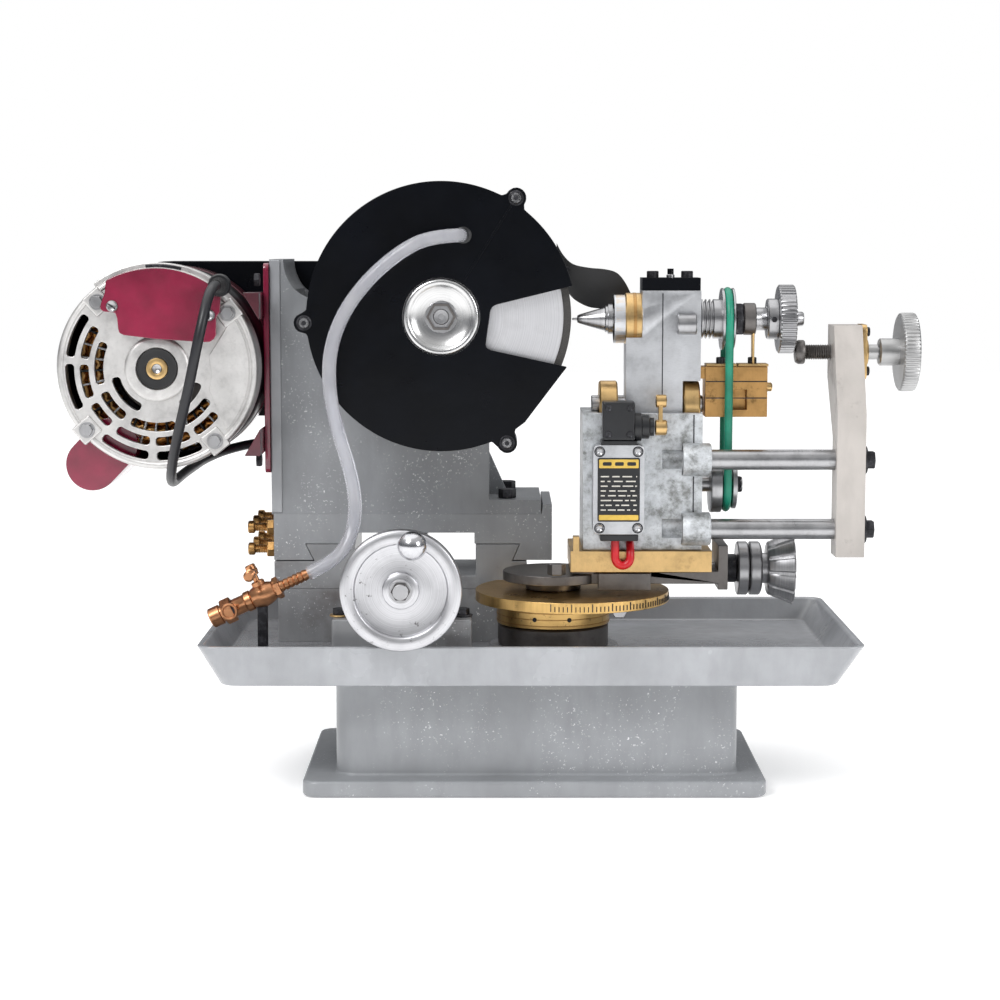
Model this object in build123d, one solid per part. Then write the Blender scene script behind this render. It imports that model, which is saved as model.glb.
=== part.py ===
from build123d import *
import os
from math import cos, pi, radians, sin, tan

os.makedirs("parts", exist_ok=True)

# A cabbing machine: a wheel on a sliding column grinds a stone that a motor-driven
# work head holds. Millimetres, origin at the middle of the base's underside,
# +X towards the work head, +Y towards the back, +Z up.

# ---- driving dimensions ----
RUN = 0.05                      # running clearance round a shaft, on the radius
GAP = 0.4                       # free gap between bodies
BASE_X, BASE_Y, BASE_Z = 182.0, 101.0, 13.0
PED_X0, PED_X1, PED_Y, PED_TOP = -157.0, 161.0, 80.0, 92.0
TRAY_X0, TRAY_X1, TRAY_Y = -260.5, 254.0, 128.0
TRAY_LOW_X0, TRAY_LOW_X1, TRAY_LOW_Y = -243.0, 234.0, 119.0
TRAY_TOP, TRAY_FLOOR = 124.0, 105.0
BED_X0, BED_X1, BED_Y0, BED_Y1 = -212.0, -5.0, 5.0, 105.0
BED_Z, BED_SHOULDER, RAIL_TOP, CHANNEL_Z = 149.0, 172.0, 186.0, 160.0
SADDLE_X0, SADDLE_X1, SADDLE_TOP = -212.0, 15.5, 211.0
COLUMN_X0, COLUMN_X1, COLUMN_TOP = -203.0, -36.0, 418.0
PLATE_X0 = -213.5
SPINDLE = (-72.9, 373.7)        # grinding spindle, X and Z
WHEEL_R, WHEEL_Y0, WHEEL_Y1 = 101.6, -58.0, -33.0
COVER_R, COVER_Y0, COVER_Y1 = 105.0, -66.0, -62.0
GUARD_BACK = -25.0
EARS = ((-14.6, 465.5), (-179.6, 369.0), (-21.5, 275.3))
MOTOR = (-298.6, 332.0)         # motor shaft, X and Z
MOTOR_R, MOTOR_Y0, MOTOR_Y1 = 80.0, -40.0, 104.0
BELT_Y0, BELT_Y1 = 120.0, 134.0
SPINDLE_PULLEY_R, MOTOR_PULLEY_R = 30.0, 25.0
SCREW = (-101.6, 170.9)         # leadscrew, X and Z
HANDWHEEL_R, HANDWHEEL_Y0, HANDWHEEL_Y1 = 46.0, -152.0, -138.0
KNOB = (-92.2, 207.2)
PIVOT = (15.4, -45.0)           # turntable, X and Y
HEAD_Y = -45.0                  # plane of the work spindle
WORK_Z = 371.5
TILT_Z = 304.5
DRIVE_Z = 240.8
ROD_Y, ROD_ZS, ROD_R = -77.0, (263.1, 208.8), 8.0
ADJUST_Z = 173.5
TAIL_Z = 345.5
HOSE_D, CORD_D, CABLE_D = 10.8, 8.0, 6.5
COIL = (15.0, 158.0)           # coil of the put-away cord, X and Y
COIL_R = 44.0


# ---- shape helpers ----
def box(x0, x1, y0, y1, z0, z1):
    """A block between two corners."""
    middle = Pos((x0 + x1) / 2, (y0 + y1) / 2, (z0 + z1) / 2)
    return middle * Box(x1 - x0, y1 - y0, z1 - z0)


def polygon(*points):
    return make_face(Polyline(*points, close=True))


def disc(centre, radius):
    return Pos(*centre) * Circle(radius)


def hexagon(centre, across_flats):
    return Pos(*centre) * RegularPolygon(across_flats / 2, 6, major_radius=False)


def along_x(sketch, x0, x1):
    """A sketch in Y and Z, made solid from x0 to x1."""
    return Plane.YZ.offset(x0) * extrude(sketch, x1 - x0)


def along_y(sketch, y0, y1):
    """A sketch in X and Z, made solid from y0 to y1."""
    return Plane.XZ.offset(-y0) * extrude(sketch, y0 - y1)


def along_z(sketch, z0, z1):
    """A sketch in X and Y, made solid from z0 to z1."""
    return Pos(0, 0, z0) * extrude(sketch, z1 - z0)


def hull(centre_a, radius_a, centre_b, radius_b):
    """The outline of a belt round two wheels."""
    return make_hull(disc(centre_a, radius_a).edges() + disc(centre_b, radius_b).edges())


def ball(centre, radius):
    return Pos(*centre) * Sphere(radius)


def tube(points, diameter, name):
    """A round tube on straight runs joined by the largest tangent arcs that fit."""
    corners = [Vector(*p) for p in points]
    radii = []
    for before, here, after in zip(corners, corners[1:], corners[2:]):
        run_in = here - before
        run_out = after - here
        turn = radians(run_in.get_angle(run_out))
        radii.append(0.45 * min(run_in.length, run_out.length) / tan(turn / 2))
    path = FilletPolyline(*corners, radius=radii)
    start = Plane(origin=corners[0], z_dir=corners[1] - corners[0])
    solid = sweep(start * Circle(diameter / 2), path=path)
    expected = pi * diameter ** 2 / 4 * path.length
    print(name, "length", round(path.length, 1), "radii", [round(r, 1) for r in radii],
          "volume ratio", round(solid.volume / expected, 4))
    return solid


def save(name, *solids):
    """Write one sub-part; several separate solids share a node."""
    shape = solids[0] if len(solids) == 1 else Compound(children=list(solids))
    export_step(shape, f"parts/{name}.step")


# ---- base, tray and bed ----
def pedestal():
    flange = along_z(RectangleRounded(2 * BASE_X, 2 * BASE_Y, 12), 0, BASE_Z)
    mid_x = (PED_X0 + PED_X1) / 2
    block = along_z(Pos(mid_x, 0) * RectangleRounded(PED_X1 - PED_X0, 2 * PED_Y, 16),
                    BASE_Z, PED_TOP)
    wall = 10
    cavity = box(PED_X0 + wall, PED_X1 - wall, -PED_Y + wall, PED_Y - wall, -1, PED_TOP - wall)
    rib = box(-8, 8, -PED_Y + 5, PED_Y - 5, 0, PED_TOP - 5)
    return flange + block - cavity + rib


def tray_outline(grow, z):
    x0 = TRAY_LOW_X0 + (TRAY_X0 - TRAY_LOW_X0) * grow
    x1 = TRAY_LOW_X1 + (TRAY_X1 - TRAY_LOW_X1) * grow
    y = TRAY_LOW_Y + (TRAY_Y - TRAY_LOW_Y) * grow
    return Pos((x0 + x1) / 2, 0, z) * RectangleRounded(x1 - x0, 2 * y, 14)


def tray_inside(z):
    wall = 6
    grow = (z - PED_TOP) / (TRAY_TOP - PED_TOP)
    x0 = TRAY_LOW_X0 + (TRAY_X0 - TRAY_LOW_X0) * grow + wall
    x1 = TRAY_LOW_X1 + (TRAY_X1 - TRAY_LOW_X1) * grow - wall
    y = TRAY_LOW_Y + (TRAY_Y - TRAY_LOW_Y) * grow - wall
    return Pos((x0 + x1) / 2, 0, z) * RectangleRounded(x1 - x0, 2 * y, 10)


BED_SCREWS = ((SCREW[0] - 29, 55), (SCREW[0] + 29, 55))
BRACKET_SCREWS = ((-152.5, -78), (-56.5, -78))


def drip_tray():
    shell = loft([tray_outline(0, PED_TOP), tray_outline(1, TRAY_TOP)])
    inside = loft([tray_inside(TRAY_FLOOR), tray_inside(TRAY_TOP + 1)])
    tray = shell - inside
    tray += along_z(disc(PIVOT, 52), TRAY_FLOOR - 1, 113)
    tray -= along_z(disc(PIVOT, 9), PED_TOP - 1, 114)
    return tray


def bed_riser():
    riser = box(BED_X0 + 3, BED_X1, BED_Y0, BED_Y1, TRAY_FLOOR, BED_Z)
    for x, y in BED_SCREWS:
        riser -= along_z(disc((x, y), 4.3), TRAY_FLOOR - 1, BED_Z + 1)
    return riser


def dovetail_bed():
    outline = polygon((BED_X0, BED_Z), (BED_X1, BED_Z), (BED_X1, BED_SHOULDER),
                      (-17, BED_SHOULDER), (-11, RAIL_TOP), (-47, RAIL_TOP), (-47, CHANNEL_Z),
                      (-146, CHANNEL_Z), (-146, RAIL_TOP), (-186, RAIL_TOP),
                      (-179, BED_SHOULDER), (BED_X0, BED_SHOULDER))
    bed = along_y(outline, BED_Y0, BED_Y1)
    for x, y in BED_SCREWS:
        bed -= along_z(disc((x, y), 4.3), BED_Z - 1, CHANNEL_Z + 1)
    return bed


def base_screws():
    screws = []
    for x, y in BED_SCREWS:
        screws.append(along_z(disc((x, y), 4), TRAY_FLOOR + 0.1, CHANNEL_Z + 0.1)
                      + along_z(disc((x, y), 7), CHANNEL_Z + 0.1, CHANNEL_Z + 4))
    for x, y in BRACKET_SCREWS:
        screws.append(along_z(hexagon((x, y), 10), 140.1, 146.5))
    return screws


def leadscrew_bracket():
    foot = box(-158, -49, -95, -62, TRAY_FLOOR, 140)
    boss = along_y(disc(SCREW, 19), -92, -62)
    neck = box(SCREW[0] - 19, SCREW[0] + 19, -92, -62, 139, SCREW[1])
    return foot + boss + neck - along_y(disc(SCREW, 6 + RUN), -100, -50)


def pivot_ring():
    return along_z(disc(PIVOT, 44), 113, 130) - along_z(disc(PIVOT, 8 + RUN), 112, 131)


def index_disc():
    hub = along_z(disc(PIVOT, 45), 131, 146) + along_z(disc(PIVOT, 38), 130, 148.6)
    plate = along_z(disc((30.5, PIVOT[1]), 77), 148.5, 157)
    plate -= box(-200, 200, 3, 60, 140, 170)
    return hub + plate - along_z(disc(PIVOT, 8 + RUN), 112, 160)


# ---- water supply ----
VALVE_A = (-256.0, -60.0, 135.0)
VALVE_TURN = 25.0
VALVE = Plane(origin=VALVE_A, x_dir=(cos(radians(VALVE_TURN)), 0, sin(radians(VALVE_TURN))),
              z_dir=(-sin(radians(VALVE_TURN)), 0, cos(radians(VALVE_TURN))))
VALVE_BODY_LENGTH, VALVE_LENGTH, VALVE_STEM = 58.0, 87.0, 46.0


def valve_line(radius, start, end):
    """A round length on the valve's bore, from one distance along it to another."""
    return VALVE * Pos((start + end) / 2, 0, 0) * Rot(0, 90, 0) * Cylinder(radius, end - start)


def valve_body():
    body = valve_line(8, 0, VALVE_BODY_LENGTH) + valve_line(4.75, VALVE_BODY_LENGTH, VALVE_LENGTH)
    body += VALVE * Pos(VALVE_STEM, 0, 0) * Sphere(10)
    body += VALVE * Pos(VALVE_STEM, 0, 9) * Cylinder(5, 6)
    post = box(-219, -211, -63, -57, TRAY_FLOOR, 150)
    bore = valve_line(4, -1, 30)
    stem = VALVE * Pos(VALVE_STEM, 0, 10) * Cylinder(2.5 + RUN, 8)
    return body + post - bore - stem


def valve_lever():
    stem = VALVE * Pos(VALVE_STEM, 0, 13) * Cylinder(2.5, 13)
    handle = VALVE * Pos(VALVE_STEM, -10, 20) * Box(9, 34, 4)
    return stem + handle


HOSE_Y = -77.0
HOSE = ((-63.6, HOSE_Y, 436.0), (-82, HOSE_Y, 436), (-106, HOSE_Y - 1, 423),
        (-129, HOSE_Y - 2, 403), (-148, HOSE_Y - 2, 378), (-159, HOSE_Y - 1, 349),
        (-160, HOSE_Y, 318), (-154, HOSE_Y + 1, 287), (-145, HOSE_Y + 3, 258),
        (-140, HOSE_Y + 6, 232), (-142, HOSE_Y + 10, 208), (-150, HOSE_Y + 15, 190),
        (-163.4, HOSE_Y + 17, 178.3))


def water_hose():
    end = VALVE.from_local_coords((VALVE_LENGTH + 0.1, 0, 0))
    return tube(HOSE + (tuple(end),), HOSE_D, "water_hose")


# ---- saddle, column and guard ----
def saddle():
    slack = 0.5
    outline = polygon((SADDLE_X0, BED_SHOULDER + 1), (-179.5 - slack, BED_SHOULDER + 1),
                      (-186 - slack, RAIL_TOP + slack), (-145, RAIL_TOP + slack), (-145, 195.5),
                      (-48, 195.5), (-48, RAIL_TOP + slack), (-11 + slack, RAIL_TOP + slack),
                      (-16.6 + slack, BED_SHOULDER + 1), (SADDLE_X1, BED_SHOULDER + 1),
                      (SADDLE_X1, 219), (8, 219), (7, SADDLE_TOP), (SADDLE_X0, SADDLE_TOP))
    body = along_y(outline, BED_Y0, BED_Y1)
    nut = box(SCREW[0] - 14, SCREW[0] + 14, 32, 72, 161.5, 197)
    body += nut
    body -= along_y(disc(SCREW, 6 + GAP), 30, 74)
    for y in (16, 55, 94):
        for z in (199, 181):
            body -= along_x(disc((y, z), 3.2), SADDLE_X0 - 1, SADDLE_X0 + 12)
    return body


def gib_screws():
    screws = []
    for y in (16, 55, 94):
        for z in (199, 181):
            shank = along_x(disc((y, z), 3), SADDLE_X0 - 22, SADDLE_X0 + 11)
            locknut = along_x(hexagon((y, z), 12), SADDLE_X0 - 6, SADDLE_X0 - 0.1)
            screws.append(shank + locknut)
    return screws


def column():
    body = box(COLUMN_X0, COLUMN_X1, BED_Y0, BED_Y1, SADDLE_TOP, COLUMN_TOP)
    wall = 10
    body -= box(COLUMN_X0 + wall, COLUMN_X1 - wall, BED_Y0 + wall, BED_Y1 - wall,
                SADDLE_TOP - 1, COLUMN_TOP - wall)
    body += along_y(disc(SPINDLE, 24), GUARD_BACK, BED_Y1)
    body += box(COLUMN_X1 - 1, 6.5, BED_Y0, BED_Y1, SADDLE_TOP, 222.5)
    body += along_y(polygon((-37, 222), (-20, 222), (-37, 260)), 50, 60)
    body += box(PLATE_X0, COLUMN_X0 + 1, BED_Y0, BED_Y1, SADDLE_TOP, COLUMN_TOP)
    return body - along_y(disc(SPINDLE, 10 + RUN), GUARD_BACK - 5, BED_Y1 + 5)


def column_screws():
    screws = []
    for y in (22, 88):
        screws.append(along_z(hexagon((-21, y), 13), 222.6, 230))
    for centre in EARS:
        screws.append(along_y(disc(centre, 4.2), COVER_Y0 - 3, COVER_Y0 - 0.1))
    return screws


def motor_plate():
    return box(-218, PLATE_X0 - 0.1, -35, BED_Y1, 245, 415)


def guard_sector(radius, y0, y1):
    """The part of a round shell left of the work opening."""
    cut = polygon(SPINDLE, (SPINDLE[0] + 200, SPINDLE[1] + 46), (SPINDLE[0] + 200, SPINDLE[1] - 265))
    return along_y(disc(SPINDLE, radius), y0, y1) - along_y(cut, y0 - 1, y1 + 1)


def wheel_guard():
    wall = guard_sector(COVER_R, COVER_Y1, GUARD_BACK - 4) - along_y(disc(SPINDLE, 102.8), -70, -20)
    back = guard_sector(COVER_R, GUARD_BACK - 4, GUARD_BACK) - along_y(disc(SPINDLE, 20), -70, -20)
    ears = [along_y(disc(c, 8), COVER_Y1, GUARD_BACK) for c in EARS]
    keep_out = along_y(disc(SPINDLE, 102.8), COVER_Y0, GUARD_BACK - 4)
    return wall + back + [ear - keep_out for ear in ears]


def guard_cover():
    plate = disc(SPINDLE, COVER_R)
    for centre in EARS:
        plate += disc(centre, 8)
    plate -= polygon((-34, 382.2), (60, 405.2), (60, 327.2), (-38.7, 348.8))
    plate -= disc(SPINDLE, 30.5)
    inlet = along_y(disc((-55.5, 437), 7), -84, COVER_Y0)
    inlet += along_x(disc((HOSE_Y, 436), 5.4), -63.4, -55.5)
    return along_y(plate, COVER_Y0, COVER_Y1) + inlet


def splash_flap():
    outline = polygon((23, 420), (31, 413), (51, 410), (65, 408), (74, 398), (79, 387),
                      (68, 382), (55, 378), (43, 379), (31, 385), (24, 396))
    return along_y(outline, GUARD_BACK + 0.1, GUARD_BACK + 8)


# ---- motor ----
def motor_shell():
    shell = along_y(disc(MOTOR, MOTOR_R), -9.9, MOTOR_Y1)
    shell -= along_y(disc(MOTOR, MOTOR_R - 4), -20, MOTOR_Y1 - 12)
    return shell - along_y(disc(MOTOR, 8 + RUN), -50, MOTOR_Y1 + 5)


def motor_front_bell():
    bell = along_y(disc(MOTOR, MOTOR_R), MOTOR_Y0, -10)
    bell -= along_y(disc(MOTOR, MOTOR_R - 5), MOTOR_Y0 + 5, -5)
    bell += along_y(disc(MOTOR, 20), MOTOR_Y0, -22)
    for row_r in (64, 54, 44, 34):
        for centre_deg in (160, 195, 225, 267, 310):
            arc = Pos(*MOTOR) * (Circle(row_r + 3) - Circle(row_r - 3))
            reach = 100
            wedge = polygon(MOTOR, *[(MOTOR[0] + reach * cos(radians(centre_deg + d)),
                                      MOTOR[1] + reach * sin(radians(centre_deg + d)))
                                     for d in (-12, 12)])
            bell -= along_y(arc & wedge, MOTOR_Y0 - 1, MOTOR_Y0 + 6)
    return bell - along_y(disc(MOTOR, 8 + RUN), -50, 0)


def stator_windings():
    return along_y(disc(MOTOR, 70) - disc(MOTOR, 42), -5, 78)


def terminal_cover():
    cap = along_y(disc(MOTOR, MOTOR_R - 1), MOTOR_Y0 - 8, MOTOR_Y0 - 0.1)
    return cap - box(-500, 0, -60, 0, 200, MOTOR[1] + 42)


def capacitor_cover():
    can = along_y(disc((-355, 254), 23), -25, 75)
    return can - along_y(disc(MOTOR, MOTOR_R + 0.1), -60, 120)


def motor_rotor():
    shaft = along_y(disc(MOTOR, 8), MOTOR_Y0 + 1, 138)
    return shaft + along_y(disc(MOTOR, 38), 0, 72)


def pulley(centre, radius, bore):
    """A V pulley whose groove takes the belt."""
    body = along_y(disc(centre, radius), BELT_Y0, BELT_Y1)
    for y0, y1 in ((BELT_Y0 - 3, BELT_Y0), (BELT_Y1, BELT_Y1 + 3)):
        body += along_y(disc(centre, radius + 6), y0, y1)
    return body - along_y(disc(centre, bore + 0.02), BELT_Y0 - 5, BELT_Y1 + 6)


def drive_belt():
    gap = 0.4
    outer = hull(MOTOR, MOTOR_PULLEY_R + 8, SPINDLE, SPINDLE_PULLEY_R + 8)
    inner = hull(MOTOR, MOTOR_PULLEY_R + gap, SPINDLE, SPINDLE_PULLEY_R + gap)
    return along_y(outer - inner, BELT_Y0 + 1, BELT_Y1 - 1)


GLAND = (-247.0, 398.0)
CLIP_Y, CLIP_Z = 127.0, 261.0


def belt_guard():
    outside = Pos(-184, 350) * RectangleRounded(332, 132, 40)
    inside = Pos(-184, 350) * RectangleRounded(328, 128, 38)
    shell = along_y(outside, 106, 146) - along_y(inside, 108, 144)
    for centre in (MOTOR, SPINDLE):
        shell -= along_y(disc(centre, 14), 100, 110)
    clip = disc((CLIP_Y, CLIP_Z), 9.5) - disc((CLIP_Y, CLIP_Z), 7.4)
    shell += along_x(clip, -207, -201)
    return shell + box(-207, -201, CLIP_Y - 1.5, CLIP_Y + 1.5, CLIP_Z + 8.5, 285)


CORD = ((GLAND[0], -72.1, GLAND[1]), (GLAND[0], -91, GLAND[1]), (-248.5, -110, 390),
        (-251, -122, 374), (-256, -125, 351), (-263, -118, 322), (-271, -107, 295), (-279, -91, 269),
        (-285, -68, 249), (-288, -40, 241), (-288, -8, 241.5), (-287, 25, 243),
        (-284, 57, 245), (-278, 86, 249), (-262, 108, 255), (-236, 121, 260),
        (-203, 127.5, CLIP_Z), (-175, 137, 251), (-151, 144, 227), (-134, 148, 197),
        (-123, 150, 166), (-116, 152, 135), (-111, 151, 104), (-104, 152, 76), (-94, 153, 50),
        (-79, 155, 28), (-60, 159, 12), (-42.8, 167, CORD_D / 2 + 0.6))


def cord_gland():
    collar = along_y(disc(GLAND, 9), MOTOR_Y0 - 14, MOTOR_Y0 - 8.1)
    sleeve = along_y(disc(GLAND, 5.5), -72, MOTOR_Y0 - 14)
    return collar + sleeve


def power_cord():
    return tube(CORD, CORD_D, "power_cord")


def power_cord_coil():
    ring = disc(COIL, COIL_R + 12) - disc(COIL, COIL_R - 12)
    return along_z(ring, 0.1, 3 * CORD_D)


def power_plug():
    body = box(72, 106, 146, 170, 0.5, 23.5)
    blades = [box(105, 122, 158 + y - 0.8, 158 + y + 0.8, 9, 15.4) for y in (-6.3, 6.3)]
    return body + blades


# ---- grinding spindle ----
def wheel_spindle():
    shaft = along_y(disc(SPINDLE, 10), -64, 140)
    return shaft + along_y(disc(SPINDLE, 18), GUARD_BACK - 8, GUARD_BACK - 0.3)


def grinding_wheel():
    return along_y(disc(SPINDLE, WHEEL_R) - disc(SPINDLE, 10.02), WHEEL_Y0, WHEEL_Y1)


def wheel_flange():
    flange = along_y(disc(SPINDLE, 29.5) - disc(SPINDLE, 10.02), -68, WHEEL_Y0 - 0.1)
    flange -= along_y(disc(SPINDLE, 24.5), -69, -64)
    nut = along_y(hexagon(SPINDLE, 18) - disc(SPINDLE, 10.02), -63.9, -62)
    return flange + nut


# ---- saddle drive ----
def leadscrew():
    screw = along_y(disc(SCREW, 6), -158, 100)
    return screw + along_y(disc(SCREW, 12), -104, -96)


def handwheel():
    plate = along_y(disc(SCREW, HANDWHEEL_R), HANDWHEEL_Y0, HANDWHEEL_Y1)
    plate -= along_y(disc(SCREW, 35) - disc(SCREW, 14), HANDWHEEL_Y0 - 1, HANDWHEEL_Y0 + 4)
    hub = along_y(disc(SCREW, 14), HANDWHEEL_Y0, HANDWHEEL_Y1 + 14)
    pin = along_y(disc(KNOB, 3), -176, HANDWHEEL_Y0 + 6)
    return plate + hub + pin - along_y(disc(SCREW, 6.02), -160, -110)


def crank_knob():
    knob = ball((KNOB[0], -167, KNOB[1]), 11) + along_y(disc(KNOB, 6), HANDWHEEL_Y0 - 5, -158)
    return knob - along_y(disc(KNOB, 3 + RUN), -176.5, -140)


# ---- work head ----
def swivel_plate():
    plate = along_z(disc(PIVOT, 40), 164.6, BED_SHOULDER)
    plate += along_z(disc(PIVOT, 8), 118, 165) + along_z(disc(PIVOT, 22), 157.4, 165)
    plate += box(50, 91, -78, -64, 160.3, 173.8)
    for y0 in (-72, -33.8):
        plate += box(30, 152, y0, y0 + 15.8, 164.6, 174.6)
    plate += box(144.2, 152, -72, -18, 160, 195)
    return plate - along_x(disc((HEAD_Y, ADJUST_Z), 4 + RUN), 140, 160)


def slide_base():
    base = box(28, 138.6, -80, 0, 175, 191.6) + box(60, 138.6, -55, -35, 166, 176)
    base += box(30, 35, -80, -70, 191, 203)
    return base - along_x(disc((HEAD_Y, ADJUST_Z), 4 + GAP), 92, 140)


def adjuster_knob():
    axis = (HEAD_Y, ADJUST_Z)
    knob = along_x(disc(axis, 4), 97, 206) + along_x(disc(axis, 11.3), 152.6, 161.2)
    knob += along_x(disc(axis, 21.3), 161.2, 180.3) + along_x(disc(axis, 12), 180, 185.2)
    face = Plane.YZ.offset(185.1) * Pos(*axis) * Circle(20)
    back = Plane.YZ.offset(205) * Pos(*axis) * Circle(29)
    return knob + loft([face, back])


def head_casting():
    body = box(37.7, 131, -74, -2, 191.8, 299)
    for z in ROD_ZS:
        body += along_x(disc((ROD_Y, z), 12.5), 115, 137)
        body += box(115, 137, ROD_Y, -70, z - 12.5, z + 12.5)
        body -= along_x(disc((ROD_Y, z), ROD_R + 0.02), 100, 140)
    body -= box(66, 117, -66, -24, 268, 300)
    body -= along_x(disc((HEAD_Y, TILT_Z), 19), 50, 132)
    body -= along_x(disc((HEAD_Y, TILT_Z), 7 + GAP), 36, 140)
    return body - along_x(disc((HEAD_Y, DRIVE_Z), 6 + RUN), 95, 140)


def guide_rods():
    return [along_x(disc((ROD_Y, z), ROD_R), 100.1, 256) for z in ROD_ZS]


def tail_arm():
    outline = polygon((-90, 188), (-64, 188), (-64, 280), (-30, 325), (-30, 367), (-62, 367),
                      (-90, 300))
    arm = along_x(outline, 233.7, 256)
    for z in ROD_ZS:
        arm -= along_x(disc((ROD_Y, z), ROD_R + 0.02), 230, 260)
    return arm - along_x(disc((HEAD_Y, TAIL_Z), 6 + RUN), 230, 260)


def tail_fittings():
    fittings = []
    for z in ROD_ZS:
        washer = along_x(disc((ROD_Y, z), 11), 256.1, 258.5)
        fittings.append(washer + along_x(hexagon((ROD_Y, z), 13), 258.5, 265))
    flange = along_x(Pos(HEAD_Y, 346) * RectangleRounded(30, 43, 6), 256.1, 262.5)
    fittings.append(flange - along_x(disc((HEAD_Y, TAIL_Z), 6 + GAP), 250, 265))
    return fittings


def limit_switch():
    body = box(44.6, 84.4, -98, -74.1, 207, 276.2) + box(50.4, 80, -97, -76, 201.6, 207)
    head = box(52.2, 77, -97, -75, 276, 309.4) + box(77, 92, -96, -76, 280, 300)
    return body + head


CABLE_Y = -87.0
CABLE = ((62.5, CABLE_Y, 201.6), (62.5, CABLE_Y, 182), (74.5, CABLE_Y, 182),
         (74.5, CABLE_Y, 198), (74.5, -74.1, 198))


def switch_cable():
    path = FilletPolyline(*CABLE, radius=5.6)
    start = Plane(origin=CABLE[0], z_dir=(0, 0, -1))
    return sweep(start * Circle(CABLE_D / 2), path=path)


def switch_lever():
    axis = (-86, 289)
    lever = along_x(disc(axis, 6), 93, 102) + box(94, 100, -90, -82, 289, 312)
    return lever + along_x(disc((-86, 311), 5), 93, 102)


def drive_pulley():
    axis = (HEAD_Y, DRIVE_Z)
    body = along_x(disc(axis, 6), 97, 165) + along_x(disc(axis, 22.5), 139, 148.3)
    return body + along_x(disc(axis, 15.2), 148, 156) + along_x(disc(axis, 19.5), 156, 160)


def spindle_belt():
    gap = 0.4
    size = 5.8
    top, low = (HEAD_Y, WORK_Z), (HEAD_Y, DRIVE_Z)
    outer = hull(top, 18.4 + size + gap, low, 15.2 + size + gap)
    inner = hull(top, 18.4 + gap, low, 15.2 + gap)
    return along_x(outer - inner, 149.1, 149.1 + size)


def swing_arm():
    outline = polygon((71.5, 272), (116, 272), (116, 323.5), (130, 323.5), (130, 394), (84, 394),
                      (84, 357.5), (71.5, 357.5))
    arm = along_y(outline, -62, -28)
    arm += along_x(disc((HEAD_Y, WORK_Z), 19), 62.5, 85)
    arm -= along_x(disc((HEAD_Y, WORK_Z), 9 + RUN), 50, 140)
    return arm - along_x(disc((HEAD_Y, TILT_Z), 7.02), 60, 120)


def arm_cap():
    cap = box(84, 129.5, -61, -29, 394.1, 404)
    for x in (93, 120):
        cap += along_z(disc((x, HEAD_Y), 4), 404, 408)
    return cap + along_z(disc((107, HEAD_Y), 2.5), 404, 411)


def pivot_bushes():
    axis = (HEAD_Y, TILT_Z)
    pin = along_x(disc(axis, 7), 45, 133)
    left = along_x(disc(axis, 18.5), 51, 65.5)
    return pin + left + along_x(disc(axis, 18.5), 117, 130)


def cross_slide_block():
    bar = box(130.1, 137, -56, -34, 325, 334.4)
    block = box(134, 183, -57, -33, 295, 334.4)
    return bar + block - box(154.8, 166.8, -58, -47, 300.7, 316.4)


def work_spindle():
    axis = (HEAD_Y, WORK_Z)
    shaft = along_x(disc(axis, 9), 61, 212)
    taper = loft([Plane.YZ.offset(34) * Pos(*axis) * Circle(3),
                  Plane.YZ.offset(57) * Pos(*axis) * Circle(10.5)])
    collet = along_x(disc(axis, 12), 57, 62)
    return shaft + taper + collet + along_x(disc(axis, 1.2), 30.4, 35)


def step_pulley():
    axis = (HEAD_Y, WORK_Z)
    body = along_x(disc(axis, 15.5), 130.6, 147.1) + along_x(disc(axis, 24.4), 147, 149)
    body += along_x(disc(axis, 18.4), 149, 155) + along_x(disc(axis, 24.4), 155, 157)
    body += along_x(disc(axis, 13), 157, 174)
    return body - along_x(disc(axis, 9.02), 120, 180)


def template_wheel():
    axis = (HEAD_Y, WORK_Z)
    body = along_x(disc(axis, 16), 183, 192) + along_x(disc(axis, 27), 191.5, 204.3)
    return body - along_x(disc(axis, 9.02), 170, 210)


def tail_screw():
    axis = (HEAD_Y, TAIL_Z)
    screw = along_x(disc(axis, 6), 212, 271) + along_x(disc(axis, 9.5), 205.3, 213)
    return screw + along_x(disc(axis, 4), 270, 302)


def tail_wheel():
    axis = (HEAD_Y, TAIL_Z)
    wheel = along_x(disc(axis, 10.7), 271.5, 291) + along_x(disc(axis, 31), 287, 300.4)
    return wheel - along_x(disc(axis, 4 + RUN), 265, 310)


SIMPLE = (pedestal, drip_tray, bed_riser, dovetail_bed, leadscrew_bracket, pivot_ring, index_disc,
          valve_body, valve_lever, water_hose, saddle, column, motor_plate,
          wheel_guard, guard_cover, splash_flap, motor_shell, motor_front_bell, stator_windings,
          terminal_cover, capacitor_cover, motor_rotor, drive_belt, belt_guard, cord_gland,
          power_cord, power_cord_coil, power_plug, wheel_spindle, grinding_wheel, wheel_flange,
          leadscrew, handwheel, crank_knob, swivel_plate, slide_base, adjuster_knob,
          head_casting, tail_arm, limit_switch, switch_cable, switch_lever, drive_pulley,
          spindle_belt, swing_arm, arm_cap, pivot_bushes, cross_slide_block, work_spindle,
          step_pulley, template_wheel, tail_screw, tail_wheel)
GROUPS = (base_screws, gib_screws, column_screws, guide_rods, tail_fittings)

for make in SIMPLE:
    save(make.__name__, make())
for make in GROUPS:
    save(make.__name__, *make())
save("spindle_pulley", pulley(SPINDLE, SPINDLE_PULLEY_R, 10))
save("motor_pulley", pulley(MOTOR, MOTOR_PULLEY_R, 8))
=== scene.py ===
"""Looks of the cabbing machine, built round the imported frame. Lengths here are millimetres."""
import math
import random

import bmesh
import bpy
from mathutils import Matrix, Vector


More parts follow.
